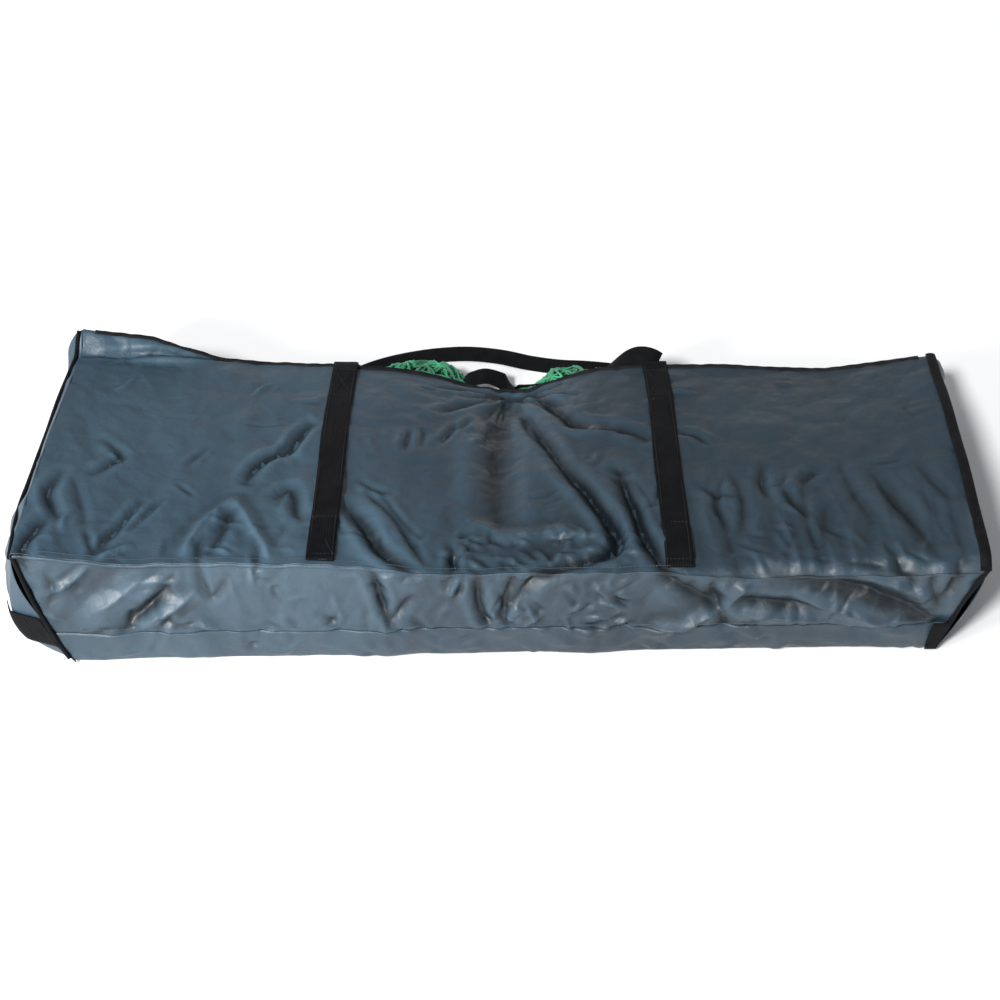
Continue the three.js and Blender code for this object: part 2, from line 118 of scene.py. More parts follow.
def front_surface(x, t):
    t = np.clip(t, 0, 1)
    bulge = 0.015 * np.sin(np.pi * t) ** 0.8
    flap = (0.026 * smooth(-x, 0.405, 0.54) + 0.008 * smooth(-x, 0.50, 0.64)) * smooth(t, 0.93, 1.0)
    turned = seam_drop(x) * (1 - np.clip(t / 0.055, 0, 1)) ** 2
    return points(x, mix(SEAM_Y, LIP_Y, t), mix(seam_z(x), lip_z(x), t) + bulge + flap - turned)


def gusset_left(z):
    return -0.575 - 0.068 * (np.maximum(z, 0) / 0.178) ** 0.8


def gusset_right(z):
    return 0.592 + 0.054 * (np.maximum(z, 0) / 0.162) ** 1.3


def gusset_y(z):
    return mix(TUCK_Y, SEAM_Y, np.maximum(z - TUCK_Z, 0) / (0.160 - TUCK_Z))


def back_left(y):
    return -0.578 - 0.062 * (1 - np.exp(-np.maximum(y - TUCK_Y, 0) / 0.110))


def back_right(y):
    return 0.595 + 0.056 * (1 - np.exp(-np.maximum(y - TUCK_Y, 0) / 0.110))


def zipped(x):
    return 1 - smooth(x, CLOSED_LEFT, OPEN_LEFT) * (1 - smooth(x, OPEN_RIGHT, CLOSED_RIGHT))


def back_lip_z(x):
    return np.maximum(lip_z(x) - 0.043, 0) * zipped(x)


def back_lip_y(x):
    return mix(0.295, LIP_Y, zipped(x))


def back_rise(x, y):
    full = smooth(LIP_Y, 0.060, LIP_Y + 0.020)
    return np.minimum(back_lip_z(x) * smooth(y, 0.060, LIP_Y + 0.020) / full, back_lip_z(x))


# ---- folds in the cloth ----------------------------------------------------
# Each fold is a line of (x, s) points in millimetres on the skin of the bag, with a width and a height.
# s is measured from the seam: up the front panel it is positive, down the base gusset negative.

FOLDS = {
    "flap": [
        ([(-626, 506), (-560, 514), (-480, 526), (-412, 537)], 4, -4),
    ],
    "left_end": [
        ([(-560, 270), (-532, 238), (-545, 215), (-563, 189)], 7, -4),
        ([(-606, 184), (-617, 140), (-605, 103), (-595, 86)], 8, -5),
        ([(-608, 84), (-624, 44), (-633, 4), (-626, -24)], 9, -6),
        ([(-541, 14), (-523, 54), (-505, 97), (-490, 132)], 6, -4),
        ([(-500, 72), (-482, 104), (-462, 140)], 5, -3),
        ([(-556, 62), (-541, 20)], 5, -3),
        ([(-588, 170), (-570, 120), (-556, 70)], 6, -2),
        ([(-534, 6), (-516, 24), (-496, 38)], 5, 4),
        ([(-438, 222), (-428, 243), (-415, 268)], 5, -2),
    ],
    "tent": [
        ([(-365, 134), (-392, 98), (-410, 58), (-420, 18)], 9, 5),
        ([(-365, 134), (-345, 100), (-322, 52), (-306, 12)], 9, 4),
        ([(-366, 112), (-374, 66), (-388, 22)], 9, -4),
        ([(-396, 60), (-402, 26), (-398, -40)], 6, -3),
        ([(-330, 60), (-322, 24), (-326, -16)], 6, -3),
    ],
    "beside_left_strap": [
        ([(-352, 184), (-345, 216), (-325, 248), (-302, 270), (-286, 320), (-274, 348)], 8, -7),
        ([(-306, 150), (-292, 172), (-283, 150), (-278, 116), (-270, 98)], 9, -5),
        ([(-208, 130), (-185, 92), (-162, 45), (-146, 24), (-126, 4)], 11, -9),
        ([(-184, 168), (-150, 120), (-124, 74), (-100, 14)], 6, -4),
        ([(-165, 168), (-140, 122), (-110, 78)], 5, -3),
        ([(-196, 196), (-176, 178), (-154, 172)], 6, -3),
        ([(-137, 292), (-134, 316), (-132, 340)], 6, -4),
        ([(-115, 306), (-111, 352)], 5, -3),
        ([(-87, 326), (-76, 352), (-66, 382)], 5, -4),
        ([(-58, 376), (-44, 408)], 5, -3),
        ([(-20, 336), (-17, 370), (-14, 410)], 6, -3),
        ([(-66, 64), (-62, 28), (-67, -14)], 7, -5),
    ],
    "middle": [
        ([(8, 500), (-2, 410), (-6, 310), (-8, 210), (-2, 110)], 20, -7),
        ([(46, 528), (70, 470), (95, 405), (116, 368), (160, 352), (212, 312)], 10, -8),
        ([(40, 436), (55, 375), (72, 310), (90, 250), (112, 205), (128, 165), (148, 115), (160, 74),
          (152, 46), (120, 26), (70, 8), (38, -20), (16, -52)], 10, -12),
        ([(168, 230), (176, 178), (186, 130), (192, 86), (206, 38), (224, -14)], 10, -11),
        ([(190, 200), (206, 150), (214, 96)], 7, -3),
        ([(60, 330), (82, 262), (104, 214)], 9, 4),
        ([(-40, 120), (20, 84), (80, 92), (128, 70)], 14, 5),
    ],
    "right_end": [
        ([(262, 326), (280, 320), (296, 300)], 7, -4),
        ([(280, 190), (300, 168), (330, 158)], 8, -3),
        ([(372, 234), (366, 196), (372, 160)], 7, -4),
        ([(396, 180), (404, 150), (420, 118)], 7, -4),
        ([(446, 228), (436, 214), (424, 196)], 8, -4),
        ([(522, 226), (540, 160), (566, 92), (584, 24)], 12, -5),
        ([(590, 232), (600, 190), (622, 150)], 9, -3),
        ([(528, 30), (540, -8), (556, -40)], 9, -6),
        ([(612, 20), (604, -30), (590, -66)], 9, -6),
        ([(574, -8), (578, -40), (592, -74)], 8, -5),
    ],
    "base_left": [
        ([(-602, -62), (-570, -38), (-545, -10)], 5, 4),
        ([(-552, -88), (-512, -56), (-478, -26)], 15, 7),
        ([(-478, -94), (-440, -72), (-410, -54)], 8, 6),
        ([(-506, -104), (-466, -66), (-436, -34)], 8, -5),
        ([(-604, -28), (-596, -56), (-606, -84)], 7, -3),
        ([(-398, -20), (-384, -56), (-360, -22)], 6, -3),
    ],
    "base_middle": [
        ([(-30, 2), (-29, -48), (-14, -90)], 8, -6),
        ([(22, 2), (6, -48), (10, -90)], 8, -6),
        ([(-170, -6), (-160, -50), (-150, -90)], 8, -6),
        ([(-118, -38), (-148, -88)], 6, -4),
        ([(-236, -82), (-222, -98)], 7, -3),
    ],
    "base_star": [
        ([(298, -70), (262, -40), (216, -10)], 14, -6),
        ([(298, -70), (250, -94), (196, -112)], 12, 8),
        ([(298, -70), (318, -40), (334, -14)], 9, 5),
        ([(298, -70), (390, -86), (500, -104)], 11, 6),
        ([(298, -70), (284, -36), (286, -12)], 8, -5),
        ([(330, -50), (376, -62), (430, -70)], 10, -5),
        ([(298, -70), (302, -92), (308, -112)], 9, -4),
    ],
    "base_right": [
        ([(372, -10), (440, -26), (500, -48), (552, -74), (590, -104)], 17, -9),
        ([(410, -58), (470, -78), (530, -104)], 13, 7),
        ([(396, 24), (452, 18), (520, 8), (572, -2)], 9, -3),
        ([(480, -14), (530, -30), (572, -52)], 9, 4),
    ],
}


def fan_of_folds():
    """Folds that run out of the V where the lip sags over the net."""
    rng = np.random.default_rng(7)
    made = []
    for turn in np.linspace(-74, 74, 15):
        angle = math.radians(turn + rng.uniform(-4, 4))
        reach = rng.uniform(90, 210) * (1 - abs(turn) / 190)
        start = rng.uniform(8, 20)
        side = math.sin(angle)
        line = [(18 + side * r, 536 - math.cos(angle) * r * 0.95) for r in (start, reach * 0.5, reach)]
        made.append((line, rng.uniform(5, 9), -rng.uniform(2.5, 5)))
    return made


def drapes():
    """Long soft folds that run up from the seam on the right half."""
    rng = np.random.default_rng(12)
    made = []
    evenly = np.arange(282, 640, 17)
    for x in evenly + rng.uniform(-7, 7, len(evenly)):
        lean = rng.uniform(-24, 14)
        top = rng.uniform(90, 260)
        low = rng.choice([-6, rng.uniform(0.2, 0.5) * top])
        line = [(x + lean, top), (x + rng.uniform(-9, 9), mix(low, top, 0.5)), (x + rng.uniform(-6, 10), low)]
        made.append((line, rng.uniform(5, 11), rng.choice([-1, -1, 1]) * rng.uniform(0.8, 2.8)))
    return made


def small_creases():
    """Short random creases, closer together near the seam and on the base gusset."""
    rng = np.random.default_rng(21)
    made = []
    for _ in range(150):
        x = rng.uniform(-620, 620)
        s = rng.choice([rng.uniform(-100, 90), rng.uniform(0, 520)], p=[0.7, 0.3])
        turn = rng.uniform(0, math.pi)
        half = rng.uniform(8, 26)
        dx, ds = half * math.cos(turn), half * math.sin(turn)
        bend = rng.uniform(-6, 6)
        line = [(x - dx, s - ds), (x + bend, s - bend), (x + dx, s + ds)]
        made.append((line, rng.uniform(3.5, 6), rng.choice([-1, 1]) * rng.uniform(0.8, 2.2)))
    made += crease_patch(rng, 90, (-90, 200), (-100, 90), 18, 1.0, (3.5, 6), (1.2, 3))
    made += crease_patch(rng, 70, (-560, 570), (-150, -96), 20, 0.8, (4, 7), (1.0, 2.6))
    return made


def crease_patch(rng, count, across, up, longest, squash, widths, depths):
    """Random creases within one patch of the skin; sizes are in millimetres."""
    made = []
    for _ in range(count):
        x = rng.uniform(*across)
        s = rng.uniform(*up)
        turn = rng.uniform(0, math.pi)
        half = rng.uniform(7, longest)
        dx = half * math.cos(turn)
        ds = squash * half * math.sin(turn)
        line = [(x - dx, s - ds), (x + rng.uniform(-5, 5), s), (x + dx, s + ds)]
        made.append((line, rng.uniform(*widths), rng.choice([-1, 1]) * rng.uniform(*depths)))
    return made


def rounded(line, count):
    """The line's points joined by a smooth curve through them."""
    p = np.array([line[0], *line, line[-1]], float)
    out = []
    for i in range(1, len(p) - 2):
        a, b, c, d = p[i - 1:i + 3]
        for t in np.linspace(0, 1, count, endpoint=False):
            out.append(0.5 * (2 * b + (c - a) * t + (2 * a - 5 * b + 4 * c - d) * t ** 2
                              + (3 * b - a - 3 * c + d) * t ** 3))
    out.append(p[-2])
    return np.array(out)


def fold_height(x, s):
    """Height of all folds over the smooth skin, at points (x, s) in metres."""
    flat = np.stack([x.ravel(), s.ravel()], 1) / MM
    height = np.zeros(len(flat))
    lines = [f for group in FOLDS.values() for f in group] + fan_of_folds() + drapes() + small_creases()
    for line, width, depth in lines:
        path = rounded(line, 5)
        reach = 4 * width
        near = np.all((flat > path.min(0) - reach) & (flat < path.max(0) + reach), axis=1)
        p = flat[near]
        best = np.full(len(p), 1e9)
        along = np.zeros(len(p))
        for i, (a, b) in enumerate(zip(path[:-1], path[1:])):
            ab = b - a
            k = np.clip(((p - a) @ ab) / (ab @ ab), 0, 1)
            d = np.linalg.norm(p - a - k[:, None] * ab, axis=1)
            closer = d < best
            best = np.where(closer, d, best)
            along = np.where(closer, (i + k) / (len(path) - 1), along)
        taper = np.sqrt(np.clip(np.sin(np.pi * np.clip(along, 0.04, 0.96)), 0, 1))
        valley = np.exp(-((best / (0.72 * width)) ** 1.1))
        banks = 0.35 * np.exp(-(((best - 2.0 * width) / width) ** 2))
        height[near] += 1.5 * depth * taper * (valley - banks)
    return height.reshape(x.shape) * MM


def facets(x, s, cell, seed):
    """Crumple: flat-sided dents around scattered centres, 0 to 1."""
    rng = np.random.default_rng(seed)
    low = np.array([-0.72, -0.20])
    size = np.array([1.44, 0.80])
    centres = low + size * rng.random((int(size[0] * size[1] / cell ** 2), 2))
    flat = np.stack([x.ravel(), s.ravel()], 1)
    best = np.full(len(flat), 1e9)
    second = np.full(len(flat), 1e9)
    for c in centres:
        d = np.linalg.norm(flat - c, axis=1)
        second = np.minimum(second, np.maximum(best, d))
        best = np.minimum(best, d)
    return (np.clip((second - best) / cell, 0, 1)).reshape(x.shape)


def crumple(x, s):
    """Broad and fine facets of a creased coated cloth."""
    lower = 1 - smooth(s, -0.02, 0.22)
    middle = np.exp(-(((x - 0.05) / 0.17) ** 2))
    gusset = smooth(-s, 0.0, 0.02)
    broad = facets(x, s, 0.085, 3) * (0.0045 + 0.003 * gusset)
    fine = facets(x, s, 0.034, 5) * (0.0012 + 0.0026 * lower * (0.4 + 0.6 * middle))
    return broad + fine - 0.003


def skin(surface, normal, x, s):
    """The surface pushed out or in by its folds."""
    x, s = np.broadcast_arrays(x, s)
    at_seam = np.where(s > 0, mix(0.30, 1.0, smooth(s, 0, 0.022)), smooth(-s - seam_drop(x), -0.001, 0.014))
    return surface + normal * (at_seam * (fold_height(x, s) + crumple(x, s)))[..., None]


def normals_of(grid):
    du = np.gradient(grid, axis=0)
    dv = np.gradient(grid, axis=1)
    n = np.cross(du, dv)
    return n / np.linalg.norm(n, axis=-1, keepdims=True)


# ---- meshes ----------------------------------------------------------------

def new_object(name, mesh, material, body="bag", stands_for=()):
    obj = bpy.data.objects.new(name, mesh)
    bpy.context.scene.collection.objects.link(obj)
    if material is not None and not mesh.materials:
        mesh.materials.append(material)
    if body:
        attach(obj, body)
    if stands_for:
        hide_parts(*stands_for)
    return obj


def settle(p):
    """The bag lies a little askew: its front foot comes forward at the left and back at the right."""
    share = (1 - np.clip(p[..., 2] / 0.16, 0, 1)) * (1 - smooth(p[..., 1], -0.284, -0.13))
    out = p.copy()
    out[..., 1] += mix(-0.008, 0.021, np.clip((p[..., 0] + 0.62) / 1.24, 0, 1)) * share
    return out


def grid_mesh(name, grid, uv_size=None, close_u=False):
    """A smooth-shaded mesh over a grid of points, with a UV map in metres."""
    grid = settle(grid)
    m, n = grid.shape[:2]
    index = np.arange(m * n).reshape(m, n)
    if close_u:
        index = np.vstack([index, index[:1]])
    quads = np.stack([index[:-1, :-1], index[1:, :-1], index[1:, 1:], index[:-1, 1:]], -1).reshape(-1, 4)
    mesh = bpy.data.meshes.new(name)
    mesh.from_pydata((grid.reshape(-1, 3) + ORIGIN).tolist(), [], quads.tolist())
    mesh.shade_smooth()
    width, length = uv_size or (1.0, 1.0)
    iu, iv = np.meshgrid(np.arange(index.shape[0]), np.arange(index.shape[1]), indexing="ij")
    uv = np.stack([iu / (index.shape[0] - 1) * width, iv / (index.shape[1] - 1) * length], -1)
    corner = np.stack([uv[:-1, :-1], uv[1:, :-1], uv[1:, 1:], uv[:-1, 1:]], -2).reshape(-1, 2)
    layer = mesh.uv_layers.new(name="cloth")
    layer.data.foreach_set("uv", corner.ravel().astype(np.float32))
    mesh.update()
    return mesh


def store_folds(mesh, height):
    """Keeps how deep each point lies in a fold, for the cloth's painted shade in the valleys and its lighter
    ridges (partly rubbed wear, partly painted highlight).
    """
    layer = mesh.attributes.new("fold", "FLOAT", "POINT")
    layer.data.foreach_set("value", np.clip(height / 0.006, -1, 1).ravel().astype(np.float32))


def thicken(obj, thickness, offset=-1.0):
    wall = obj.modifiers.new("wall", "SOLIDIFY")
    wall.thickness = thickness
    wall.offset = offset
    return obj


def front_grid(columns, rows):
    """The folded outer face of the front panel, as a grid of points."""
    u = np.linspace(0, 1, columns)[:, None]
    t = np.linspace(0, 1, rows)[None, :]
    x = mix(front_left(t), front_right(t), u)
    base = front_surface(x, t)
    return skin(base, normals_of(base), x, t * DEPTH)


# Rows of a hem as (y, z) steps in metres from the edge that it turns over.
SEAM_HEM = ((0.0016, -0.0055), (-0.0014, -0.0046), (-0.0018, -0.0022), (-0.0009, -0.0003))
LIP_HEM = ((0.0016, -0.0006), (0.0016, -0.0022), (-0.0006, -0.0034))
TAPE_OVER_LIP = ((-0.0060, 0.0012), (-0.0030, 0.0022), (0.0006, 0.0022), (0.0022, 0.0002))


def front_panel(material):
    """The outer face, turned down over the base seam and back under the lip, and a lining inside it."""
    face = front_grid(460, 180)
    seam = face[:, 0]
    hem = [seam + [0, y, z] for y, z in SEAM_HEM]
    lip = [face[:, -1] + [0, y, z] for y, z in LIP_HEM]
    outer = np.concatenate([np.stack(hem, 1), face, np.stack(lip, 1)], 1)
    mesh = grid_mesh("front_panel_cloth", outer, (1.3, DEPTH))
    store_folds(mesh, fold_height(outer[..., 0], outer[..., 1] - SEAM_Y))
    new_object("front_panel_cloth", mesh, material, "bag", ["front_panel"])
    inner = front_grid(130, 50) - [0, 0, 0.0030]
    mesh = grid_mesh("front_panel_lining", inner[::-1], (1.3, DEPTH))
    return new_object("front_panel_lining", mesh, material, "bag", ())


def base_gusset(material):
    u = np.linspace(0, 1, 460)[:, None]
    v = np.linspace(0, 1, 52)[None, :]
    along = mix(-0.64, 0.64, u)
    z = mix(TUCK_Z - 0.003, seam_z(along) - seam_drop(along) + 0.001, v)
    x = mix(gusset_left(z), gusset_right(z), u)
    base = points(x, gusset_y(z) + 0.0012 * (1 - smooth(z, TUCK_Z, TUCK_Z + 0.006)), z)
    grid = skin(base, normals_of(base), x, z - seam_z(x))
    mesh = grid_mesh("base_gusset_cloth", grid, (1.28, 0.11))
    store_folds(mesh, fold_height(*np.broadcast_arrays(x, z - seam_z(x))))
    obj = new_object("base_gusset_cloth", mesh, material, "bag", ["base_gusset"])
    return thicken(obj, CLOTH_T)


def back_panel(material):
    u = np.linspace(0, 1, 260)[:, None]
    turn = np.linspace(0, 1, 18)[:-1]
    run = np.linspace(0, 1, 90)
    t_up = np.concatenate([turn, np.ones(len(run))])[None, :]
    t_run = np.concatenate([np.zeros(len(turn)), run])[None, :]
    y_edge = mix(TUCK_Y, LIP_Y, t_run)
    z_up = mix(TUCK_Z, FLOOR_GAP, np.sin(t_up * np.pi / 2))
    left = np.where(t_up < 1, gusset_left(z_up), back_left(y_edge))
    right = np.where(t_up < 1, gusset_right(z_up), back_right(y_edge))
    x = mix(left, right, u)
    y = np.where(t_up < 1, mix(TUCK_Y, TUCK_Y + 0.010, t_up ** 4), mix(TUCK_Y + 0.010, back_lip_y(x), t_run))
    z = np.where(t_up < 1, z_up, FLOOR_GAP + back_rise(x, y))
    base = points(x, y, z)
    outward = -normals_of(base)
    x, y, z = np.broadcast_arrays(x, y, z)
    ripple = facets(x, y, 0.09, 9) * 0.002 * smooth(y, -0.20, 0.1)
    hang = (fold_height(x, z - seam_z(x)) + crumple(x, z - seam_z(x))) * (1 - smooth(t_up + 0 * x, 0.6, 1.0))
    grid = base + outward * (hang - ripple * 0.5)[..., None]
    grid[..., 2] = np.maximum(grid[..., 2], np.minimum(z, FLOOR_GAP))
    mesh = grid_mesh("back_panel_cloth", grid[::-1], (1.28, 0.6))
    obj = new_object("back_panel_cloth", mesh, material, "bag", ["back_panel"])
    return thicken(obj, CLOTH_T)


def end_edges(side, y):
    t = (y - SEAM_Y) / DEPTH
    x_top = front_left(t) if side < 0 else front_right(t)
    x_low = back_left(y) if side < 0 else back_right(y)
    return front_surface(x_top, t), points(x_low, y, FLOOR_GAP + 0.0002 + back_rise(x_low, y))


def end_surface(side, y, v):
    """The smooth bulging face of an end panel; v runs from the floor up to the front panel."""
    top, low = end_edges(side, y)
    foot = 0.044 if side < 0 else 0.010
    bulge = 0.024 * smooth(y, TUCK_Y, -0.120) * np.sin(np.pi * v) ** 0.7
    near_foot = smooth(y, TUCK_Y, -0.262) * (1 - smooth(y, -0.235, -0.05))
    bulge = bulge + foot * near_foot * np.sin(np.pi * v ** 0.55)
    x = mix(low[..., 0], top[..., 0], v ** 0.8) + side * bulge
    return points(x, y, mix(low[..., 2], top[..., 2] - 0.0015, v))


def end_panel(side, material):
    name = "end_panel_" + SIDES[side > 0]
    u = np.linspace(0, 1, 130)[:, None]
    v = np.linspace(0, 1, 44)[None, :]
    y = mix(gusset_y(mix(0.010, 0.170, v)), LIP_Y - 0.001, u ** 1.3)
    base = end_surface(side, y, v)
    z = base[..., 2]
    outward = normals_of(base) * (-side)
    dent = facets(*np.broadcast_arrays(y, z), 0.05, 13 + side) * 0.004
    rng = np.random.default_rng(30 + side)
    for _ in range(16):
        centre, tilt = rng.uniform(-0.25, 0.25), rng.uniform(-0.8, 0.8)
        line = y - centre - tilt * (z - 0.08)
        dent = dent + rng.uniform(-0.004, 0.003) * np.exp(-((line / rng.uniform(0.006, 0.014)) ** 2))
    falloff = np.sin(np.pi * np.clip(v, 0.02, 0.98)) ** 0.5 * smooth(u, 0, 0.08)
    grid = base + outward * (dent * falloff)[..., None]
    if side > 0:
        grid = grid[::-1]
    mesh = grid_mesh(name + "_cloth", grid[::-1], (0.55, 0.17))
    obj = new_object(name + "_cloth", mesh, material, "bag", [name])
    return thicken(obj, CLOTH_T)


# ---- geometry node trees ---------------------------------------------------

def open_tree(name, inputs):
    """A geometry node tree with named inputs; returns it, its input node and its output node."""
    tree = bpy.data.node_groups.new(name, "GeometryNodeTree")
    tree.interface.new_socket("Geometry", in_out="INPUT", socket_type="NodeSocketGeometry")
    tree.interface.new_socket("Geometry", in_out="OUTPUT", socket_type="NodeSocketGeometry")
    for label, kind in inputs:
        tree.interface.new_socket(label, in_out="INPUT", socket_type="NodeSocket" + kind)
    return tree, tree.nodes.new("NodeGroupInput"), tree.nodes.new("NodeGroupOutput")


def close_tree(tree, entry, leave, geometry, finish_label):
    """Ends a tree with real geometry in its finish."""
    real = node(tree, "GeometryNodeRealizeInstances")
    paint = node(tree, "GeometryNodeSetMaterial")
    link(tree, geometry, real.inputs["Geometry"])
    link(tree, real.outputs["Geometry"], paint.inputs["Geometry"])
    link(tree, entry.outputs[finish_label], paint.inputs["Material"])
    link(tree, paint.outputs["Geometry"], leave.inputs["Geometry"])
    return tree


def stitch_tree():
    tree, entry, leave = open_tree("stitch_row", [("Stitch pitch", "Float"), ("Stitch length", "Float"),
                                                  ("Thread radius", "Float"), ("Thread", "Material")])
    line = node(tree, "GeometryNodeMeshToCurve")
    even = node(tree, "GeometryNodeResampleCurve", mode="LENGTH")
    thread = node(tree, "GeometryNodeMeshCylinder", in_Vertices=5)
    along = node(tree, "GeometryNodeInputTangent")
    turn = node(tree, "FunctionNodeAlignRotationToVector", axis="Z")
    place = node(tree, "GeometryNodeInstanceOnPoints")
    link(tree, entry.outputs["Geometry"], line.inputs["Mesh"])
    link(tree, line.outputs["Curve"], even.inputs["Curve"])
    link(tree, entry.outputs["Stitch pitch"], even.inputs["Length"])
    link(tree, entry.outputs["Stitch length"], thread.inputs["Depth"])
    link(tree, entry.outputs["Thread radius"], thread.inputs["Radius"])
    link(tree, along.outputs["Tangent"], turn.inputs["Vector"])
    link(tree, even.outputs["Curve"], place.inputs["Points"])
    link(tree, thread.outputs["Mesh"], place.inputs["Instance"])
    link(tree, turn.outputs["Rotation"], place.inputs["Rotation"])
    return close_tree(tree, entry, leave, place.outputs["Instances"], "Thread")


def teeth_tree():
    tree, entry, leave = open_tree("zip_teeth", [("Tooth pitch", "Float"), ("Tooth size", "Vector"),
                                                 ("Tooth finish", "Material")])
    line = node(tree, "GeometryNodeMeshToCurve")
    even = node(tree, "GeometryNodeResampleCurve", mode="LENGTH")
    tooth = node(tree, "GeometryNodeMeshCube")
    along = node(tree, "GeometryNodeInputTangent")
    turn = node(tree, "FunctionNodeAlignRotationToVector", axis="X")
    out = node(tree, "GeometryNodeInputNamedAttribute", data_type="FLOAT_VECTOR", in_Name="out")
    lean = node(tree, "FunctionNodeAlignRotationToVector", axis="Y", pivot_axis="X")
    place = node(tree, "GeometryNodeInstanceOnPoints")
    link(tree, entry.outputs["Geometry"], line.inputs["Mesh"])
    link(tree, line.outputs["Curve"], even.inputs["Curve"])
    link(tree, entry.outputs["Tooth pitch"], even.inputs["Length"])
    link(tree, entry.outputs["Tooth size"], tooth.inputs["Size"])
    link(tree, along.outputs["Tangent"], turn.inputs["Vector"])
    link(tree, turn.outputs["Rotation"], lean.inputs["Rotation"])
    link(tree, out.outputs["Attribute"], lean.inputs["Vector"])
    link(tree, even.outputs["Curve"], place.inputs["Points"])
    link(tree, tooth.outputs["Mesh"], place.inputs["Instance"])
    link(tree, lean.outputs["Rotation"], place.inputs["Rotation"])
    return close_tree(tree, entry, leave, place.outputs["Instances"], "Tooth finish")


def net_tree():
    tree, entry, leave = open_tree("knotted_net", [("Cord radius", "Float"), ("Knot radius", "Float"),
                                                   ("Cord", "Material")])
    line = node(tree, "GeometryNodeMeshToCurve")
    round_section = node(tree, "GeometryNodeCurvePrimitiveCircle", in_Resolution=6)
    strand = node(tree, "GeometryNodeCurveToMesh")
    is_knot = node(tree, "GeometryNodeInputNamedAttribute", data_type="BOOLEAN", in_Name="knot")
    knot = node(tree, "GeometryNodeMeshIcoSphere", in_Subdivisions=2)
    ties = node(tree, "GeometryNodeInstanceOnPoints")
    both = node(tree, "GeometryNodeJoinGeometry")
    soft = node(tree, "GeometryNodeSetShadeSmooth")
    real = node(tree, "GeometryNodeRealizeInstances")
    link(tree, entry.outputs["Geometry"], line.inputs["Mesh"])
    link(tree, entry.outputs["Cord radius"], round_section.inputs["Radius"])
    link(tree, line.outputs["Curve"], strand.inputs["Curve"])
    link(tree, round_section.outputs["Curve"], strand.inputs["Profile Curve"])
    link(tree, entry.outputs["Knot radius"], knot.inputs["Radius"])
    link(tree, entry.outputs["Geometry"], ties.inputs["Points"])
    link(tree, is_knot.outputs["Attribute"], ties.inputs["Selection"])
    link(tree, knot.outputs["Mesh"], ties.inputs["Instance"])
    link(tree, strand.outputs["Mesh"], both.inputs["Geometry"])
    link(tree, ties.outputs["Instances"], both.inputs["Geometry"])
    link(tree, both.outputs["Geometry"], real.inputs["Geometry"])
    link(tree, real.outputs["Geometry"], soft.inputs["Geometry"])
    return close_tree(tree, entry, leave, soft.outputs["Geometry"], "Cord")


def grow(name, base_mesh, tree, settings, body="bag", stands_for=()):
    """Runs a tree on a mesh of lines and keeps the result as a plain mesh."""
    seed = bpy.data.objects.new(name + "_lines", base_mesh)
    bpy.context.scene.collection.objects.link(seed)
    grower = seed.modifiers.new("grow", "NODES")
    grower.node_group = tree
    for item in tree.interface.items_tree:
        if item.name in settings:
            grower[item.identifier] = settings[item.name]
    evaluated = seed.evaluated_get(bpy.context.evaluated_depsgraph_get())
    mesh = bpy.data.meshes.new_from_object(evaluated)
    mesh.name = name
    bpy.data.objects.remove(seed)
    return new_object(name, mesh, None, body, stands_for)


def line_mesh(name, runs, out=None):
    """A mesh of open lines through the given points."""
    points_all, edges, outs = [], [], []
    for i, run in enumerate(runs):
        first = len(points_all)
        points_all += [tuple(np.asarray(p, float) + ORIGIN) for p in run]
        edges += [(first + k, first + k + 1) for k in range(len(run) - 1)]
        if out is not None:
            outs += list(out[i])
    mesh = bpy.data.meshes.new(name)
    mesh.from_pydata(points_all, edges, [])
    if out is not None:
        layer = mesh.attributes.new("out", "FLOAT_VECTOR", "POINT")
        layer.data.foreach_set("vector", np.asarray(outs, np.float32).ravel())
    return mesh


# ---- straps ----------------------------------------------------------------

def unit(v):
    return v / np.maximum(np.linalg.norm(v, axis=-1, keepdims=True), 1e-12)


def band_section(width, thickness):
    """Points (across, up) round a flat woven band, anticlockwise from its lower left."""
    w = np.array([-1, -0.97, -0.85, -0.5, 0, 0.5, 0.85, 0.97, 1])
    up = np.array([0, 0.62, 0.92, 1, 1, 1, 0.92, 0.62, 0])
    top = np.stack([w * width / 2, up * thickness / 2], 1)
    low = np.stack([w[1:-1][::-1] * width / 2, -up[1:-1][::-1] * thickness / 2], 1)
    return np.vstack([top[::-1], low[::-1]])


def band_mesh(name, path, across, width, thickness):
    """A woven band along a path, closed at its ends, with UVs in metres."""
    path, across = np.asarray(path, float), unit(np.asarray(across, float))
    along = unit(np.gradient(path, axis=0))
    up = unit(np.cross(along, across))
    across = unit(np.cross(up, along))
    section = band_section(width, thickness)
    ring = path[None] + section[:, 0, None, None] * across[None] + section[:, 1, None, None] * up[None]
    length = float(np.linalg.norm(np.diff(path, axis=0), axis=1).sum())
    mesh = grid_mesh(name, ring, (2 * width, length), close_u=True)
    return cap_ends(mesh, len(section), len(path))


def cap_ends(mesh, around, count):
    bm = bmesh.new()
    bm.from_mesh(mesh)
    bm.verts.ensure_lookup_table()
    for column in (0, count - 1):
        bm.faces.new([bm.verts[i * count + column] for i in range(around)])
    bmesh.ops.recalc_face_normals(bm, faces=bm.faces)
    for face in bm.faces:
        face.smooth = True
    bm.to_mesh(mesh)
    bm.free()
    return mesh


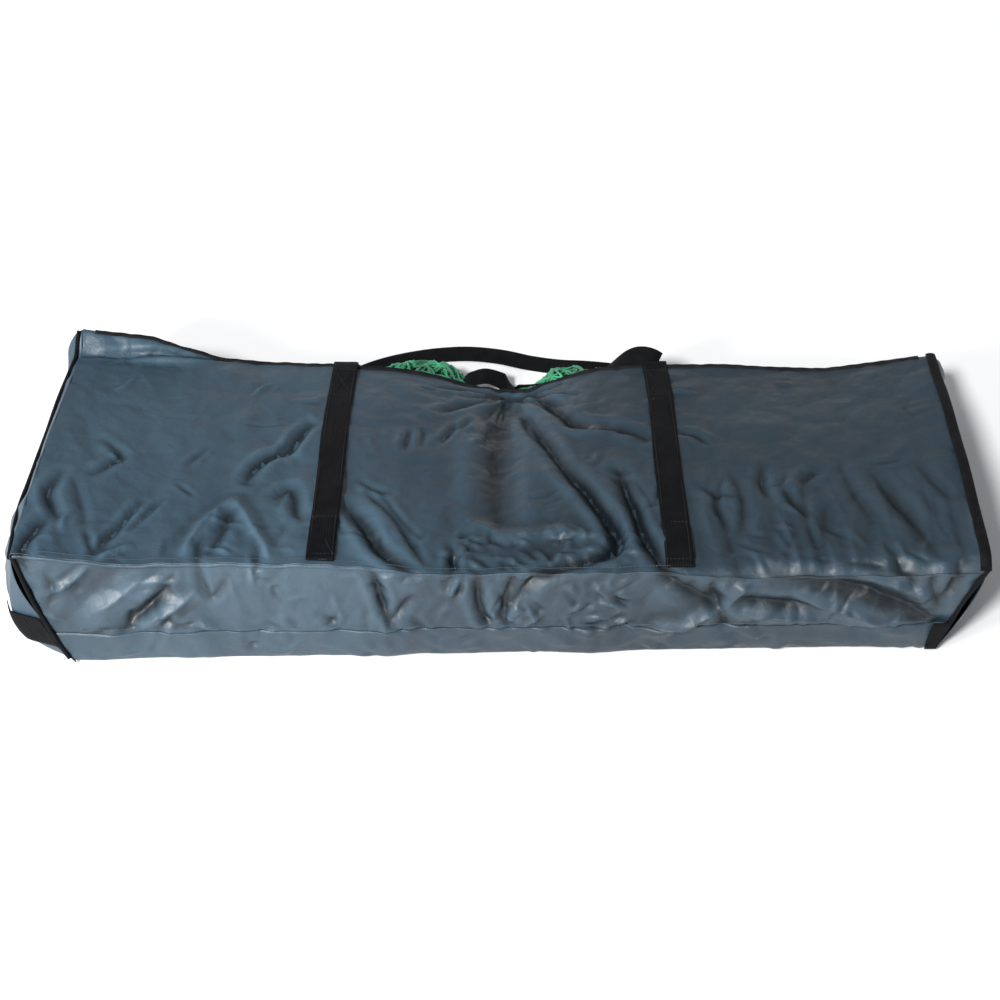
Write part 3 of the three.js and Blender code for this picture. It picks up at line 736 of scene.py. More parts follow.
def strap_line(x, count=90):
    """The middle of a front strap, lying on the folded cloth, and the way up from it."""
    t = np.linspace(0.015, 0.995, count)
    base = front_surface(np.full(count, x), t)
    spread = np.linspace(-STRAP_W / 2, STRAP_W / 2, 7)
    xs = x + spread[:, None] + 0 * t[None, :]
    ss = t[None, :] * DEPTH + 0 * spread[:, None]
    rise = (fold_height(xs, ss) + crumple(xs, ss)).max(0)
    kernel = np.hanning(15)
    rise = np.convolve(np.pad(rise, 7, mode="edge"), kernel / kernel.sum(), mode="valid")
    tangent = unit(np.gradient(base, axis=0))
    up = unit(np.cross(np.array([1.0, 0, 0]), tangent))
    return base + up * (rise + 0.0016)[:, None], up


def front_strap(side, material):
    name = "front_strap_" + SIDES[side > 0]
    path, _ = strap_line(side * STRAP_X[1])
    over = np.array([[side * STRAP_X[1], LIP_Y + 0.009, float(lip_z(side * STRAP_X[1])) + 0.001]])
    path = np.vstack([path, over])
    wobble = 0.0012 * np.sin(np.linspace(0, 9, len(path)) + side)
    path[:, 0] += wobble
    across = np.tile([1.0, 0, 0.0], (len(path), 1))
    across[:, 2] += 0.05 * np.sin(np.linspace(0, 14, len(path)) + 2 * side)
    mesh = band_mesh(name + "_webbing", path, across, STRAP_W, 0.0020)
    return new_object(name + "_webbing", mesh, material, "bag", [name])


def strap_stitches(side):
    """Edge rows down the strap, and boxed crosses at its foot and its top."""
    path, up = strap_line(side * STRAP_X[1])
    lift = path + up * 0.0011
    half = STRAP_W / 2 - 0.0035
    rows = [lift + [w, 0, 0] for w in (-half, half)]
    for first, last in ((2, 15), (72, 86)):
        corner = [lift[first] + [-half, 0, 0], lift[first] + [half, 0, 0],
                  lift[last] + [half, 0, 0], lift[last] + [-half, 0, 0]]
        rows += [[corner[0], corner[1]], [corner[2], corner[3]]]
        rows += [[corner[0], corner[2]], [corner[1], corner[3]]]
    return rows


def back_strap(side, material):
    name = "back_strap_" + SIDES[side > 0]
    y = np.linspace(STRAP_END_Y, 0.290, 40)
    path = points(side * STRAP_X[1], y, STRAP_T / 2)
    mesh = band_mesh(name + "_webbing", path, np.tile([1.0, 0, 0], (len(y), 1)), STRAP_W, STRAP_T)
    return new_object(name + "_webbing", mesh, material, "bag", [name])


BACK_HANDLE = [(-238, 303, 1.4), (-238, 316, 1.4), (-232, 338, 1.4), (-214, 360, 1.5), (-182, 379, 1.6),
               (-142, 394, 1.8), (-98, 404, 2.2), (-50, 407, 2.6), (0, 399, 2.6), (46, 384, 2.0),
               (92, 374, 1.8), (142, 370, 1.6), (188, 361, 1.5), (223, 341, 1.4), (237, 318, 1.4),
               (238, 303, 1.4)]
FRONT_HANDLE = [(-238, 281, 81), (-236, 289, 74), (-226, 294, 63), (-200, 297, 50), (-160, 297, 40),
                (-110, 296, 33), (-74, 298, 27), (-46, 302, 32), (-22, 305, 36), (2, 306, 26), (24, 304, 14),
                (58, 300, 17), (104, 297, 28), (144, 296, 44), (170, 294, 60), (188, 292, 73), (204, 290, 83),
                (220, 287, 88), (234, 284, 86), (244, 282, 80)]


def back_handle(material):
    path = rounded(BACK_HANDLE, 6) * MM
    along = unit(np.gradient(path, axis=0))
    across = np.cross(along, [0, 0, 1.0])
    mesh = band_mesh("back_handle_webbing", path, across, STRAP_W, 0.0022)
    return new_object("back_handle_webbing", mesh, material, "back_handle", ["back_handle"])


def front_handle(material):
    path = rounded(FRONT_HANDLE, 6) * MM
    along = unit(np.gradient(path, axis=0))
    lean = np.interp(path[:, 0], [-0.238, -0.20, -0.075, -0.045, 0.005, 0.03, 0.13, 0.18, 0.21],
                     [-40, -56, -56, 0, 10, -56, -56, 0, 26])
    face = np.stack([0 * lean, -np.sin(np.radians(lean)), np.cos(np.radians(lean))], 1)
    across = np.cross(along, face)
    mesh = band_mesh("front_handle_webbing", path, across, STRAP_W * 0.94, 0.0022)
    return new_object("front_handle_webbing", mesh, material, "front_handle", ["front_handle"])


# ---- bindings and corner patches -------------------------------------------

def cord_mesh(name, path, radius, flat=1.0, around=12):
    """A rounded tape folded over an edge, following a path."""
    path = np.asarray(path, float)
    along = unit(np.gradient(path, axis=0))
    side = unit(np.cross(along, [0.0, 0.0, 1.0]))
    up = unit(np.cross(side, along))
    turn = np.linspace(0, 2 * np.pi, around, endpoint=False)
    ring = path[None] + radius * (np.cos(turn)[:, None, None] * side[None] * flat
                                  + np.sin(turn)[:, None, None] * up[None])
    length = float(np.linalg.norm(np.diff(path, axis=0), axis=1).sum())
    mesh = grid_mesh(name, ring[::-1], (2 * math.pi * radius, length), close_u=True)
    return cap_ends(mesh, around, len(path))


def binding_lines(side):
    """The three bound edges of an end of the bag, as lines of points."""
    t = np.linspace(0.004, 0.992, 60)
    front, _ = end_edges(side, mix(SEAM_Y, LIP_Y, t))
    z = np.linspace(0.014, float(seam_z(side * 0.645)) - 0.002, 30)
    base_x = gusset_left(z) if side < 0 else gusset_right(z)
    base = points(base_x + side * 0.0015, gusset_y(z) - 0.0015, z)
    _, back = end_edges(side, np.linspace(TUCK_Y + 0.012, LIP_Y - 0.006, 50))
    if side < 0:
        below = 0.13 * np.sin(np.pi * np.linspace(0.02, 0.98, 60)) ** 0.5
        front = end_surface(side, front[:, 1], 1 - below) + [-0.001, 0, 0.001]
    else:
        front += [-0.002, 0, 0.002]
    front[:, 2] += 0.0012 * np.sin(np.linspace(0, 20, 60))
    base[:, 0] += 0.001 * np.sin(np.linspace(0, 8, 30))
    back[:, 2] = np.maximum(back[:, 2], BINDING_R * 0.8)
    return {"front": front, "base": base, "back": back}


def bindings(side, material):
    for place, path in binding_lines(side).items():
        name = "binding_%s_%s" % (place, SIDES[side > 0])
        wide = 2.4 if (place, side) == ("front", 1) else 0.8 if place == "back" else 1.0
        mesh = cord_mesh(name + "_tape", path, BINDING_R, wide)
        new_object(name + "_tape", mesh, material, "bag", [name])


def corner_grid(side, reach_low, reach_high, lift):
    """A patch on the base gusset, wrapped round the foot of its end."""
    v = np.linspace(0, 1, 10)[None, :]
    u = np.linspace(0, 1, 10)[:, None]
    z = mix(0.008, 0.062, v)
    reach = mix(reach_low, reach_high, v)
    edge = gusset_left(z) if side < 0 else gusset_right(z)
    x = edge - side * (-0.004 + u * reach)
    return points(x, gusset_y(z) - lift + 0 * x, z)


def corner_patch(side, material):
    name = "corner_patch_" + SIDES[side > 0]
    if side > 0:
        grid = corner_grid(side, 0.016, 0.026, 0.0034)[::-1]
    else:
        v = np.linspace(0.16, 0.44, 12)[None, :]
        u = np.linspace(0, 1, 12)[:, None]
        y = mix(gusset_y(mix(0.010, 0.170, v)) - 0.001, -0.246 + 0 * v, u)
        grid = (end_surface(side, y, v + 0 * u) + [-0.0016, -0.0012, 0])[::-1]
    mesh = grid_mesh(name + "_web", grid, (0.034, 0.054))
    obj = new_object(name + "_web", mesh, material, "bag", [name])
    return thicken(obj, 0.0014, 1.0)


# ---- zip -------------------------------------------------------------------

def closed_z(x):
    return lip_z(x) - ZIP_DROP


def zip_front(x, reach):
    """A point on the front half of the zip, reach metres down from the tape's root."""
    return points(x, ZIP_Y + 0 * x, closed_z(x) + 0.0193 - reach)


def zip_back(x, reach):
    """A point on the back half of the zip, reach metres out from its root."""
    open_z, shut_z = FLOOR_GAP + 0.0044, closed_z(x) - 0.0193
    turn = np.radians(mix(174, 90, zipped(x)))
    root_y = back_lip_y(x) + ZIP_Y - LIP_Y
    root_z = mix(open_z, shut_z, zipped(x))
    return points(x, root_y + reach * np.cos(turn), root_z + reach * np.sin(turn))


def zip_tape(name, half, material, lip=None):
    x = np.linspace(MOUTH_LEFT, MOUTH_RIGHT, 260)[:, None]
    reach = np.linspace(-0.0008, 0.0134, 6)[None, :]
    grid = half(x + 0 * reach, reach + 0 * x)
    if lip is not None:
        along = x[:, 0]
        edge_y = np.interp(along, lip[:, 0], lip[:, 1])
        edge_z = np.interp(along, lip[:, 0], lip[:, 2])
        edge = points(along, edge_y, edge_z)
        over = [edge + [0, y, z] for y, z in TAPE_OVER_LIP]
        grid = np.concatenate([np.stack(over, 1), grid], 1)
    grid[..., 1] += 0.0004 * np.sin(x * 260)
    mesh = grid_mesh(name + "_woven", grid, (1.27, 0.014))
    obj = new_object(name + "_woven", mesh, material, "bag", [name])
    return thicken(obj, 0.0012, 0.0)


def zip_chain(name, half, tree, finish):
    x = np.linspace(MOUTH_LEFT, MOUTH_RIGHT, 400)
    run = half(x, np.full(len(x), 0.0152))
    out = unit(half(x, np.full(len(x), 0.0172)) - run)
    mesh = line_mesh(name, [run], [out])
    settings = {"Tooth pitch": 0.0025, "Tooth size": (0.0013, 0.0040, 0.0030), "Tooth finish": finish}
    obj = grow(name + "_teeth", mesh, tree, settings, "bag", [name])
    edge = obj.modifiers.new("edge", "BEVEL")
    edge.width = 0.0004
    edge.segments = 1
    return obj


# ---- net -------------------------------------------------------------------

NET_HALF = 0.213
LOBES = ((-0.122, 0.074), (0.122, 0.064))


def lobe(x):
    return sum(np.exp(-(((x - c) / w) ** 4)) for c, w in LOBES)


def waves(a, b, rng, amount, low=2.0, high=9.0, count=7):
    """A smooth random field over (a, b), for crumpling."""
    out = np.zeros(np.broadcast(a, b).shape)
    for _ in range(count):
        fa, fb = rng.uniform(low, high), rng.uniform(low, high)
        out = out + np.sin(fa * a + rng.uniform(0, 6.3)) * np.sin(fb * b + rng.uniform(0, 6.3))
    return out * amount / math.sqrt(count)


def net_layer(rng, shrink, columns, rows, shift):
    """Knots of one crumpled layer of the bundle, as a grid of points."""
    a = np.linspace(-1, 1, columns)[:, None]
    b = np.linspace(0, 2 * np.pi, rows, endpoint=False)[None, :]
    a = a + waves(a, b, rng, 0.035)
    x = a * NET_HALF * mix(1.0, 0.94, 1 - shrink)
    bulk = lobe(x)
    ends = smooth(np.abs(x), 0.17, 0.21)
    near, far = 0.170, mix(mix(0.290, 0.302, ends), np.where(x > 0, 0.328, 0.342), bulk)
    low = mix(0.012, 0.010, bulk)
    high = mix(np.clip(lip_z(x) - 0.032, 0.018, mix(0.050, 0.036, ends)), 0.050, bulk)
    turn = b + shift + waves(a, b, rng, 0.25)
    middle_y, middle_z = (near + far) / 2, (low + high) / 2
    y = middle_y + shrink * (far - near) / 2 * np.cos(turn) + waves(a, b, rng, 0.006, 4, 16)
    z = middle_z + shrink * (high - low) / 2 * np.sin(turn) * 1.1 + waves(a, b, rng, 0.0045, 4, 16)
    farthest = np.where(x > 0, 0.340, 0.352)
    return points(np.clip(x, -NET_HALF, NET_HALF), np.clip(y, 0.160, farthest), np.clip(z, 0.0085, 0.060))


# Each layer of the bundle: its share of the full thickness, and its knots along and around.
NET_LAYERS = ((1.0, 27, 20), (0.94, 25, 20), (0.80, 23, 18), (0.6, 21, 14))
LONGEST_STRAND = 0.10


def net_lines():
    """All the strands of the net: knots, and slack cords between them."""
    rng = np.random.default_rng(77)
    verts, edges, knots = [], [], []
    for shrink, columns, rows in NET_LAYERS:
        grid = net_layer(rng, shrink, columns, rows, rng.uniform(0, 6))
        first = len(verts)
        verts += grid.reshape(-1, 3).tolist()
        knots += [True] * (columns * rows)
        for near, far in joined_knots(columns, rows):
            gap = np.array(verts[first + far]) - np.array(verts[first + near])
            if np.linalg.norm(gap) <= LONGEST_STRAND:
                add_strand(verts, edges, knots, first + near, first + far, rng)
    return verts, edges, knots


def joined_knots(columns, rows):
    """Pairs of knots in one layer that a strand joins, going diagonally from every second knot."""
    for i in range(columns - 1):
        for j in range(i % 2, rows, 2):
            for step in (-1, 1):
                for k in (i - 1, i + 1):
                    if 0 <= k < columns:
                        yield i * rows + j, k * rows + (j + step) % rows


def add_strand(verts, edges, knots, start, end, rng):
    """One slack cord from knot to knot, as three short lines."""
    a, b = np.array(verts[start]), np.array(verts[end])
    slack = rng.normal(0, 0.0028, 3)
    inner = []
    for t in (0.33, 0.67):
        p = mix(a, b, t) + slack + rng.normal(0, 0.0008, 3)
        p[2] = max(p[2], 0.0075)
        inner.append(len(verts))
        verts.append(p.tolist())
        knots.append(False)
    edges.extend([(start, inner[0]), (inner[0], inner[1]), (inner[1], end)])


def goal_net(material):
    verts, edges, knots = net_lines()
    used = {i for edge in edges for i in edge}
    mesh = bpy.data.meshes.new("goal_net_lines")
    mesh.from_pydata([tuple(np.array(v) + ORIGIN) for v in verts], edges, [])
    layer = mesh.attributes.new("knot", "BOOLEAN", "POINT")
    layer.data.foreach_set("value", [k and i in used for i, k in enumerate(knots)])
    settings = {"Cord radius": 0.0015, "Knot radius": 0.0031, "Cord": material}
    return grow("goal_net_cords", mesh, net_tree(), settings, "bag", ["goal_net"])


def net_tie(material):
    """The hook-and-loop strap round the bundle."""
    turn = np.linspace(0, 2 * np.pi, 80)
    lo, hi = [np.array(c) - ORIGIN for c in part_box("net_tie")]
    middle, half = (lo + hi) / 2, (hi - lo) / 2
    wide = np.abs(np.cos(turn)) ** 0.6 * np.sign(np.cos(turn))
    tall = np.abs(np.sin(turn)) ** 0.6 * np.sign(np.sin(turn))
    path = points(middle[0] + 0.002 * np.sin(2 * turn), middle[1] + half[1] * 0.96 * wide,
                  middle[2] + half[2] * 0.92 * tall)
    across = np.tile([1.0, 0, 0], (len(turn), 1))
    mesh = band_mesh("net_tie_strap", path, across, 0.025, 0.0018)
    return new_object("net_tie_strap", mesh, material, "bag", ["net_tie"])


# ---- carried-over pieces ---------------------------------------------------

def finish_nodes(names, material, bevel=0.0):
    """Gives CAD nodes a finish and, if asked, a small rounded edge."""
    for name in names:
        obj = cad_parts[name]
        obj.data.materials.clear()
        obj.data.materials.append(material)
        if bevel:
            edge = obj.modifiers.new("edge", "BEVEL")
            edge.width = bevel
            edge.segments = 2
            edge.limit_method = "ANGLE"
            edge.angle_limit = math.radians(40)


# ---- camera, light and floor ----------------------------------------------

def add_camera():
    data = bpy.data.cameras.new("camera")
    data.lens, data.sensor_width = 76.3, 36
    cam = bpy.data.objects.new("camera", data)
    cam.location = Vector((0, -2.3269, 2.0668)) + Vector(ORIGIN)
    cam.rotation_euler = (math.radians(49), 0, 0)
    bpy.context.scene.collection.objects.link(cam)
    bpy.context.scene.camera = cam


def add_light(name, place, aim, size, power, colour=(1, 1, 1)):
    data = bpy.data.lights.new(name, "AREA")
    data.shape, data.size, data.energy, data.color = "DISK", size, power, colour
    lamp = bpy.data.objects.new(name, data)
    lamp.location = place
    lamp.rotation_euler = (Vector(aim) - Vector(place)).to_track_quat("-Z", "Y").to_euler()
    bpy.context.scene.collection.objects.link(lamp)


def add_sun(name, left_of_front, height, strength, softness):
    """A broad, distant light from in front; its angles are in degrees."""
    data = bpy.data.lights.new(name, "SUN")
    data.energy, data.angle = strength, math.radians(softness)
    lamp = bpy.data.objects.new(name, data)
    turn, rise = math.radians(left_of_front), math.radians(height)
    toward = Vector((-math.sin(turn) * math.cos(rise), -math.cos(turn) * math.cos(rise), math.sin(rise)))
    lamp.rotation_euler = toward.to_track_quat("Z", "Y").to_euler()
    bpy.context.scene.collection.objects.link(lamp)


def show_white(tree):
    """The camera sees white past the floor's edge, while the soft light stays as it is."""
    seen = tree.nodes.new("ShaderNodeBackground")
    seen.inputs["Color"].default_value = (1, 1, 1, 1)
    path = tree.nodes.new("ShaderNodeLightPath")
    choose = tree.nodes.new("ShaderNodeMixShader")
    tree.links.new(path.outputs["Is Camera Ray"], choose.inputs[0])
    tree.links.new(tree.nodes["Background"].outputs[0], choose.inputs[1])
    tree.links.new(seen.outputs[0], choose.inputs[2])
    tree.links.new(choose.outputs[0], tree.nodes["World Output"].inputs["Surface"])


def add_stage():
    mesh = bpy.data.meshes.new("floor")
    mesh.from_pydata([(-9, -9, 0), (9, -9, 0), (9, 9, 0), (-9, 9, 0)], [], [(0, 1, 2, 3)])
    pale = bpy.data.materials.new("pale_floor")
    pale.use_nodes = True
    shader = pale.node_tree.nodes["Principled BSDF"]
    shader.inputs["Base Color"].default_value = (0.90, 0.90, 0.90, 1)
    shader.inputs["Roughness"].default_value = 0.9
    new_object("floor", mesh, pale, body=None)
    world = bpy.data.worlds.new("studio")
    world.use_nodes = True
    world.node_tree.nodes["Background"].inputs["Color"].default_value = (0.95, 0.97, 1.0, 1)
    world.node_tree.nodes["Background"].inputs["Strength"].default_value = 0.32
    show_white(world.node_tree)
    bpy.context.scene.world = world
    add_sun("sun", 32, 42, 3.6, 10)
    add_light("key", (-1.7, -1.9, 1.2), (-0.5, 0, 0.1), 0.7, 54, (1.0, 0.99, 0.97))
    bpy.context.scene.view_settings.view_transform = "Standard"


# ---- materials -------------------------------------------------------------

def start_material(name, colour, roughness, metallic=0.0):
    material = bpy.data.materials.new(name)
    material.use_nodes = True
    shader = material.node_tree.nodes["Principled BSDF"]
    shader.inputs["Base Color"].default_value = (*colour, 1)
    shader.inputs["Roughness"].default_value = roughness
    shader.inputs["Metallic"].default_value = metallic
    return material, material.node_tree, shader


def node(tree, kind, **settings):
    made = tree.nodes.new(kind)
    for key, value in settings.items():
        if key.startswith("in_"):
            made.inputs[key[3:].replace("_", " ")].default_value = value
        else:
            setattr(made, key, value)
    return made


def link(tree, source, target):
    tree.links.new(source, target)


def cloth_material(name, dark, light, painted_shade_right):
    """Coated nylon: painted shade darkens the valleys, the ridges are lighter (partly rubbed wear, partly
    painted highlight), and painted shade darkens it towards the right.
    """
    material, tree, shader = start_material(name, light, 0.42)
    shader.inputs["Specular IOR Level"].default_value = 0.5
    place = node(tree, "ShaderNodeTexCoord").outputs["Object"]
    blotch = node(tree, "ShaderNodeTexNoise", in_Scale=5.0, in_Detail=5.0)
    link(tree, place, blotch.inputs["Vector"])
    ramp = node(tree, "ShaderNodeValToRGB")
    ramp.color_ramp.elements[0].color = (*dark, 1)
    ramp.color_ramp.elements[1].color = (*light, 1)
    ramp.color_ramp.elements[0].position, ramp.color_ramp.elements[1].position = 0.30, 0.68
    link(tree, blotch.outputs["Fac"], ramp.inputs["Fac"])
    split = node(tree, "ShaderNodeSeparateXYZ")
    link(tree, place, split.inputs["Vector"])
    # Painted shade: the base colour is darkened towards the bag's right side, where less light falls.
    falloff = node(tree, "ShaderNodeMapRange", interpolation_type="SMOOTHSTEP")
    for label, value in (("From Min", -0.30), ("From Max", 0.15), ("To Min", 1.0), ("To Max", painted_shade_right)):
        falloff.inputs[label].default_value = value
    link(tree, split.outputs["X"], falloff.inputs["Value"])
    # Painted shade and highlight: the base colour is darkened in fold valleys, where shade falls, and
    # lightened on the ridges, partly as rubbed wear and partly as a painted highlight.
    fold = node(tree, "ShaderNodeAttribute", attribute_name="fold")
    tone = node(tree, "ShaderNodeMapRange")
    for label, value in (("From Min", -0.9), ("From Max", 0.5), ("To Min", 0.30), ("To Max", 1.45)):
        tone.inputs[label].default_value = value
    link(tree, fold.outputs["Fac"], tone.inputs["Value"])
    both = node(tree, "ShaderNodeMath", operation="MULTIPLY")
    link(tree, falloff.outputs["Result"], both.inputs[0])
    link(tree, tone.outputs["Result"], both.inputs[1])
    shaded = node(tree, "ShaderNodeVectorMath", operation="SCALE")
    link(tree, ramp.outputs["Color"], shaded.inputs["Vector"])
    link(tree, both.outputs["Value"], shaded.inputs["Scale"])
    link(tree, shaded.outputs["Vector"], shader.inputs["Base Color"])
    vary_roughness(tree, shader, place, 38.0, 0.34, 0.52)
    crinkle = node(tree, "ShaderNodeTexVoronoi", feature="SMOOTH_F1", in_Scale=34.0, in_Smoothness=0.35)
    link(tree, place, crinkle.inputs["Vector"])
    ripple = node(tree, "ShaderNodeTexNoise", in_Scale=60.0, in_Detail=6.0, in_Roughness=0.6,
                  in_Distortion=0.8)
    link(tree, place, ripple.inputs["Vector"])
    weave = node(tree, "ShaderNodeTexChecker", in_Scale=1400.0)
    uv = node(tree, "ShaderNodeUVMap", uv_map="cloth")
    link(tree, uv.outputs["UV"], weave.inputs["Vector"])
    bump_chain(tree, shader, ((crinkle.outputs["Distance"], 0.45, 0.004),
                              (ripple.outputs["Fac"], 0.5, 0.0022),
                              (weave.outputs["Fac"], 0.25, 0.00025)))
    return material


def bump_chain(tree, shader, layers):
    """Stacks bumps: (socket, strength, distance) each."""
    last = None
    for source, strength, distance in layers:
        bump = node(tree, "ShaderNodeBump", in_Strength=strength, in_Distance=distance)
        link(tree, source, bump.inputs["Height"])
        if last:
            link(tree, last.outputs["Normal"], bump.inputs["Normal"])
        last = bump
    link(tree, last.outputs["Normal"], shader.inputs["Normal"])


def mottle(tree, shader, dark, light, scale, low=0.3, high=0.7):
    """Base colour wandering between two tones on Object coordinates."""
    place = node(tree, "ShaderNodeTexCoord").outputs["Object"]
    noise = node(tree, "ShaderNodeTexNoise", in_Scale=scale, in_Detail=5.0)
    ramp = node(tree, "ShaderNodeValToRGB")
    ramp.color_ramp.elements[0].color, ramp.color_ramp.elements[1].color = (*dark, 1), (*light, 1)
    ramp.color_ramp.elements[0].position, ramp.color_ramp.elements[1].position = low, high
    link(tree, place, noise.inputs["Vector"])
    link(tree, noise.outputs["Fac"], ramp.inputs["Fac"])
    link(tree, ramp.outputs["Color"], shader.inputs["Base Color"])
    return place


def vary_roughness(tree, shader, place, scale, low, high):
    noise = node(tree, "ShaderNodeTexNoise", in_Scale=scale, in_Detail=4.0)
    spread = node(tree, "ShaderNodeMapRange")
    spread.inputs["To Min"].default_value, spread.inputs["To Max"].default_value = low, high
    link(tree, place, noise.inputs["Vector"])
    link(tree, noise.outputs["Fac"], spread.inputs["Value"])
    link(tree, spread.outputs["Result"], shader.inputs["Roughness"])


def webbing_material(name, dark, light, rib=0.0019, cross=0.0026):
    """Woven strap: ribs along it and picks across it, from the piece's own UV map in metres."""
    material, tree, shader = start_material(name, light, 0.72)
    shader.inputs["Sheen Weight"].default_value = 0.01
    shader.inputs["Specular IOR Level"].default_value = 0.10
    place = mottle(tree, shader, dark, light, 60.0)
    uv = node(tree, "ShaderNodeUVMap", uv_map="cloth")
    ribs = node(tree, "ShaderNodeTexWave", bands_direction="X", in_Scale=0.314 / rib)
    picks = node(tree, "ShaderNodeTexWave", bands_direction="Y", in_Scale=0.314 / cross, in_Distortion=1.2)
    fuzz = node(tree, "ShaderNodeTexNoise", in_Scale=900.0, in_Detail=3.0)
    link(tree, uv.outputs["UV"], ribs.inputs["Vector"])
    link(tree, uv.outputs["UV"], picks.inputs["Vector"])
    link(tree, place, fuzz.inputs["Vector"])
    vary_roughness(tree, shader, place, 120.0, 0.6, 0.85)
    bump_chain(tree, shader, ((ribs.outputs["Fac"], 0.6, 0.0005), (picks.outputs["Fac"], 0.5, 0.0004),
                              (fuzz.outputs["Fac"], 0.3, 0.0003)))
    return material


def plain_material(name, dark, light, rough, metallic=0.0, scale=40.0, grain=400.0, depth=0.0002):
    """Moulded plastic, thread, cord or metal: mottled tone, uneven gloss and a fine surface grain."""
    material, tree, shader = start_material(name, light, rough[0], metallic)
    place = mottle(tree, shader, dark, light, scale)
    vary_roughness(tree, shader, place, scale * 3, *rough)
    fine = node(tree, "ShaderNodeTexNoise", in_Scale=grain, in_Detail=4.0)
    link(tree, place, fine.inputs["Vector"])
    bump_chain(tree, shader, ((fine.outputs["Fac"], 0.5, depth),))
    return material


def net_material(name):
    """Green braided cord: lighter rubbed strands and the twist of its plies."""
    material, tree, shader = start_material(name, (0.03, 0.3, 0.14), 0.62)
    shader.inputs["Sheen Weight"].default_value = 0.2
    place = mottle(tree, shader, (0.006, 0.120, 0.060), (0.030, 0.360, 0.170), 28.0, 0.35, 0.62)
    twist = node(tree, "ShaderNodeTexWave", bands_direction="DIAGONAL", in_Scale=260.0, in_Distortion=2.0)
    link(tree, place, twist.inputs["Vector"])
    vary_roughness(tree, shader, place, 90.0, 0.5, 0.75)
    bump_chain(tree, shader, ((twist.outputs["Fac"], 0.7, 0.0006),))
    return material


def tube_material(name):
    """Galvanised tube: drawn along its length, with spangle and rub marks."""
    material, tree, shader = start_material(name, (0.5, 0.52, 0.53), 0.4, 0.9)
    place = mottle(tree, shader, (0.32, 0.33, 0.35), (0.58, 0.60, 0.62), 22.0)
    spangle = node(tree, "ShaderNodeTexVoronoi", in_Scale=95.0)
    link(tree, place, spangle.inputs["Vector"])
    stretch = node(tree, "ShaderNodeMapping")
    stretch.inputs["Scale"].default_value = (4.0, 260.0, 260.0)
    drawn = node(tree, "ShaderNodeTexNoise", in_Scale=1.0, in_Detail=4.0)
    link(tree, place, stretch.inputs["Vector"])
    link(tree, stretch.outputs["Vector"], drawn.inputs["Vector"])
    vary_roughness(tree, shader, place, 35.0, 0.28, 0.5)
    bump_chain(tree, shader, ((spangle.outputs["Distance"], 0.2, 0.0003),
                              (drawn.outputs["Fac"], 0.3, 0.0002)))
    return material


# ---- assembly --------------------------------------------------------------

add_camera()
add_stage()

# Two copies of the nylon: the base one has a slightly different tint and less painted shade towards the
# right.
cloth = cloth_material("slate_nylon", (0.025, 0.050, 0.074), (0.039, 0.074, 0.104), 0.48)
base_cloth = cloth_material("slate_nylon_base", (0.025, 0.046, 0.066), (0.040, 0.070, 0.096), 0.58)
webbing = webbing_material("black_webbing", (0.0016, 0.0017, 0.0022), (0.0045, 0.0048, 0.0060))
binding = webbing_material("black_binding", (0.003, 0.003, 0.0036), (0.0075, 0.0078, 0.009), 0.0012, 0.0016)
tape = webbing_material("zip_tape_weave", (0.008, 0.008, 0.009), (0.018, 0.018, 0.020), 0.0008, 0.0011)
teeth = plain_material("zip_teeth_nylon", (0.010, 0.010, 0.011), (0.024, 0.024, 0.026), (0.28, 0.45))
gunmetal = plain_material("zip_gunmetal", (0.16, 0.16, 0.17), (0.34, 0.34, 0.35),
                          (0.25, 0.5), 1.0, 300.0, 1500.0)
thread = plain_material("black_thread", (0.004, 0.004, 0.005), (0.012, 0.012, 0.014),
                        (0.7, 0.85), 0.0, 300.0, 2500.0)
slate_thread = plain_material("slate_thread", (0.03, 0.05, 0.07), (0.07, 0.10, 0.13),
                              (0.6, 0.8), 0.0, 300.0, 2500.0)
green_cord = net_material("green_net_cord")
hook_tape = plain_material("hook_tape", (0.006, 0.006, 0.007), (0.022, 0.022, 0.024),
                           (0.8, 0.95), 0.0, 90.0, 1400.0, 0.0012)
galvanised = tube_material("galvanised_tube")
elbow = plain_material("elbow_nylon", (0.012, 0.012, 0.013), (0.030, 0.030, 0.032),
                       (0.4, 0.6), 0.0, 60.0, 700.0)
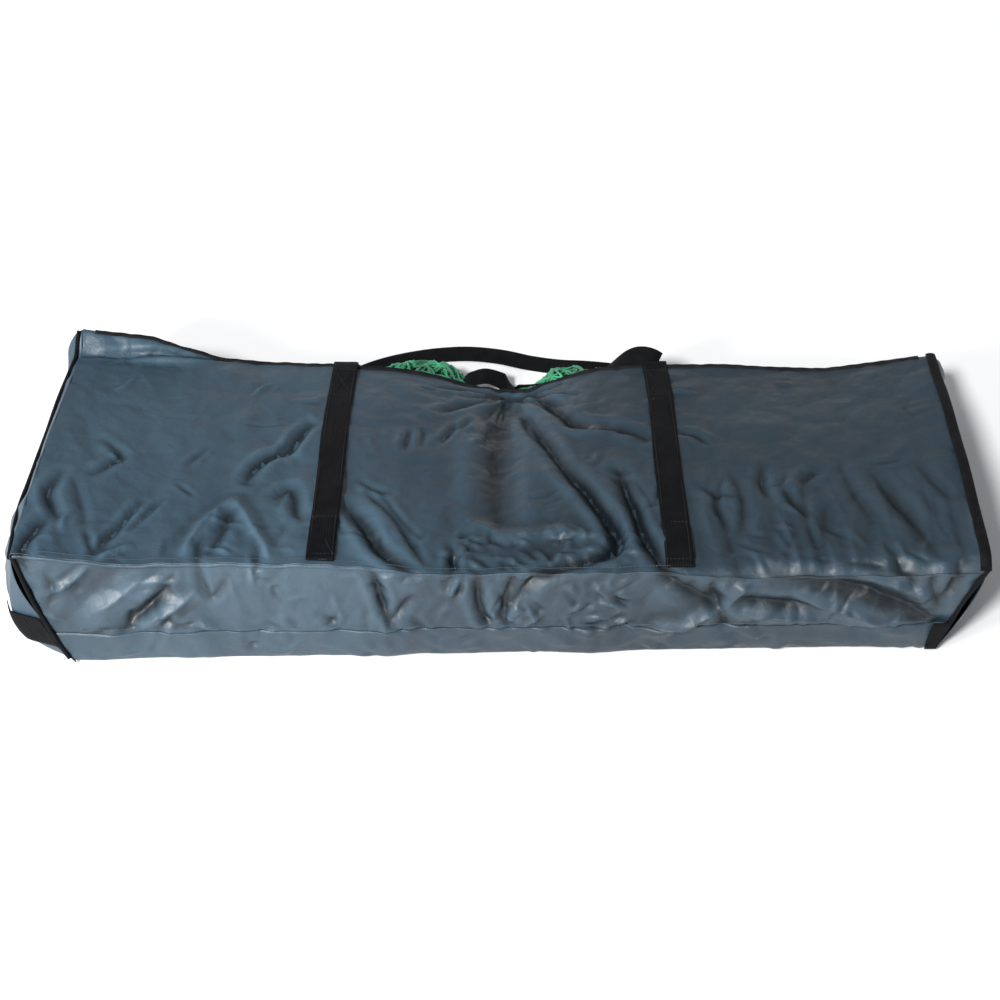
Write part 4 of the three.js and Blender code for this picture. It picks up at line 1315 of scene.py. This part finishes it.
spring = plain_material("spring_steel", (0.30, 0.30, 0.31), (0.50, 0.50, 0.51),
                        (0.2, 0.4), 1.0, 200.0, 1600.0)

front_panel(cloth)
base_gusset(base_cloth)
back_panel(base_cloth)
stitches = stitch_tree()
teeth_row = teeth_tree()
strap_thread = []
for side in (-1, 1):
    end_panel(side, cloth)
    bindings(side, binding)
    corner_patch(side, webbing)
    front_strap(side, webbing)
    back_strap(side, webbing)
    strap_thread += strap_stitches(side)
seam_x = np.linspace(-0.630, 0.235, 180)
tuck_x = np.linspace(-0.560, 0.575, 240)
seam_rows = [front_surface(seam_x, 0.017) + [0, 0, 0.0012],
             points(tuck_x, gusset_y(TUCK_Z + 0.007) - 0.0016, TUCK_Z + 0.007)]
grow("seam_stitching", line_mesh("seam_stitching", [settle(row) for row in seam_rows]), stitches,
     {"Stitch pitch": 0.0044, "Stitch length": 0.0034, "Thread radius": 0.0004,
      "Thread": slate_thread}, "bag")
grow("strap_stitching", line_mesh("strap_stitching", strap_thread), stitches,
     {"Stitch pitch": 0.0046, "Stitch length": 0.0034, "Thread radius": 0.00045, "Thread": thread}, "bag")
front_handle(webbing)
back_handle(webbing)
zip_tape("front_zip_tape", zip_front, tape, front_grid(460, 180)[:, -1])
zip_tape("back_zip_tape", zip_back, tape)
zip_chain("front_zip_chain", zip_front, teeth_row, teeth)
zip_chain("back_zip_chain", zip_back, teeth_row, teeth)
goal_net(green_cord)
net_tie(hook_tape)

finish_nodes(["zip_slider_left", "zip_slider_right", "zip_pull_left", "zip_pull_right",
              "zip_end_stop_left", "zip_end_stop_right"], gunmetal, 0.0003)
finish_nodes(["post_left", "post_right", "crossbar_half_left", "crossbar_half_right",
              "rear_base_half_left", "rear_base_half_right", "side_base_left", "side_base_right",
              "rear_brace_left", "rear_brace_right", "crossbar_spigot", "rear_base_spigot"], galvanised)
finish_nodes(["corner_elbow_upper_left", "corner_elbow_upper_right",
              "corner_elbow_lower_left", "corner_elbow_lower_right"], elbow)
finish_nodes(["crossbar_button", "crossbar_button_spring",
              "rear_base_button", "rear_base_button_spring"], spring)
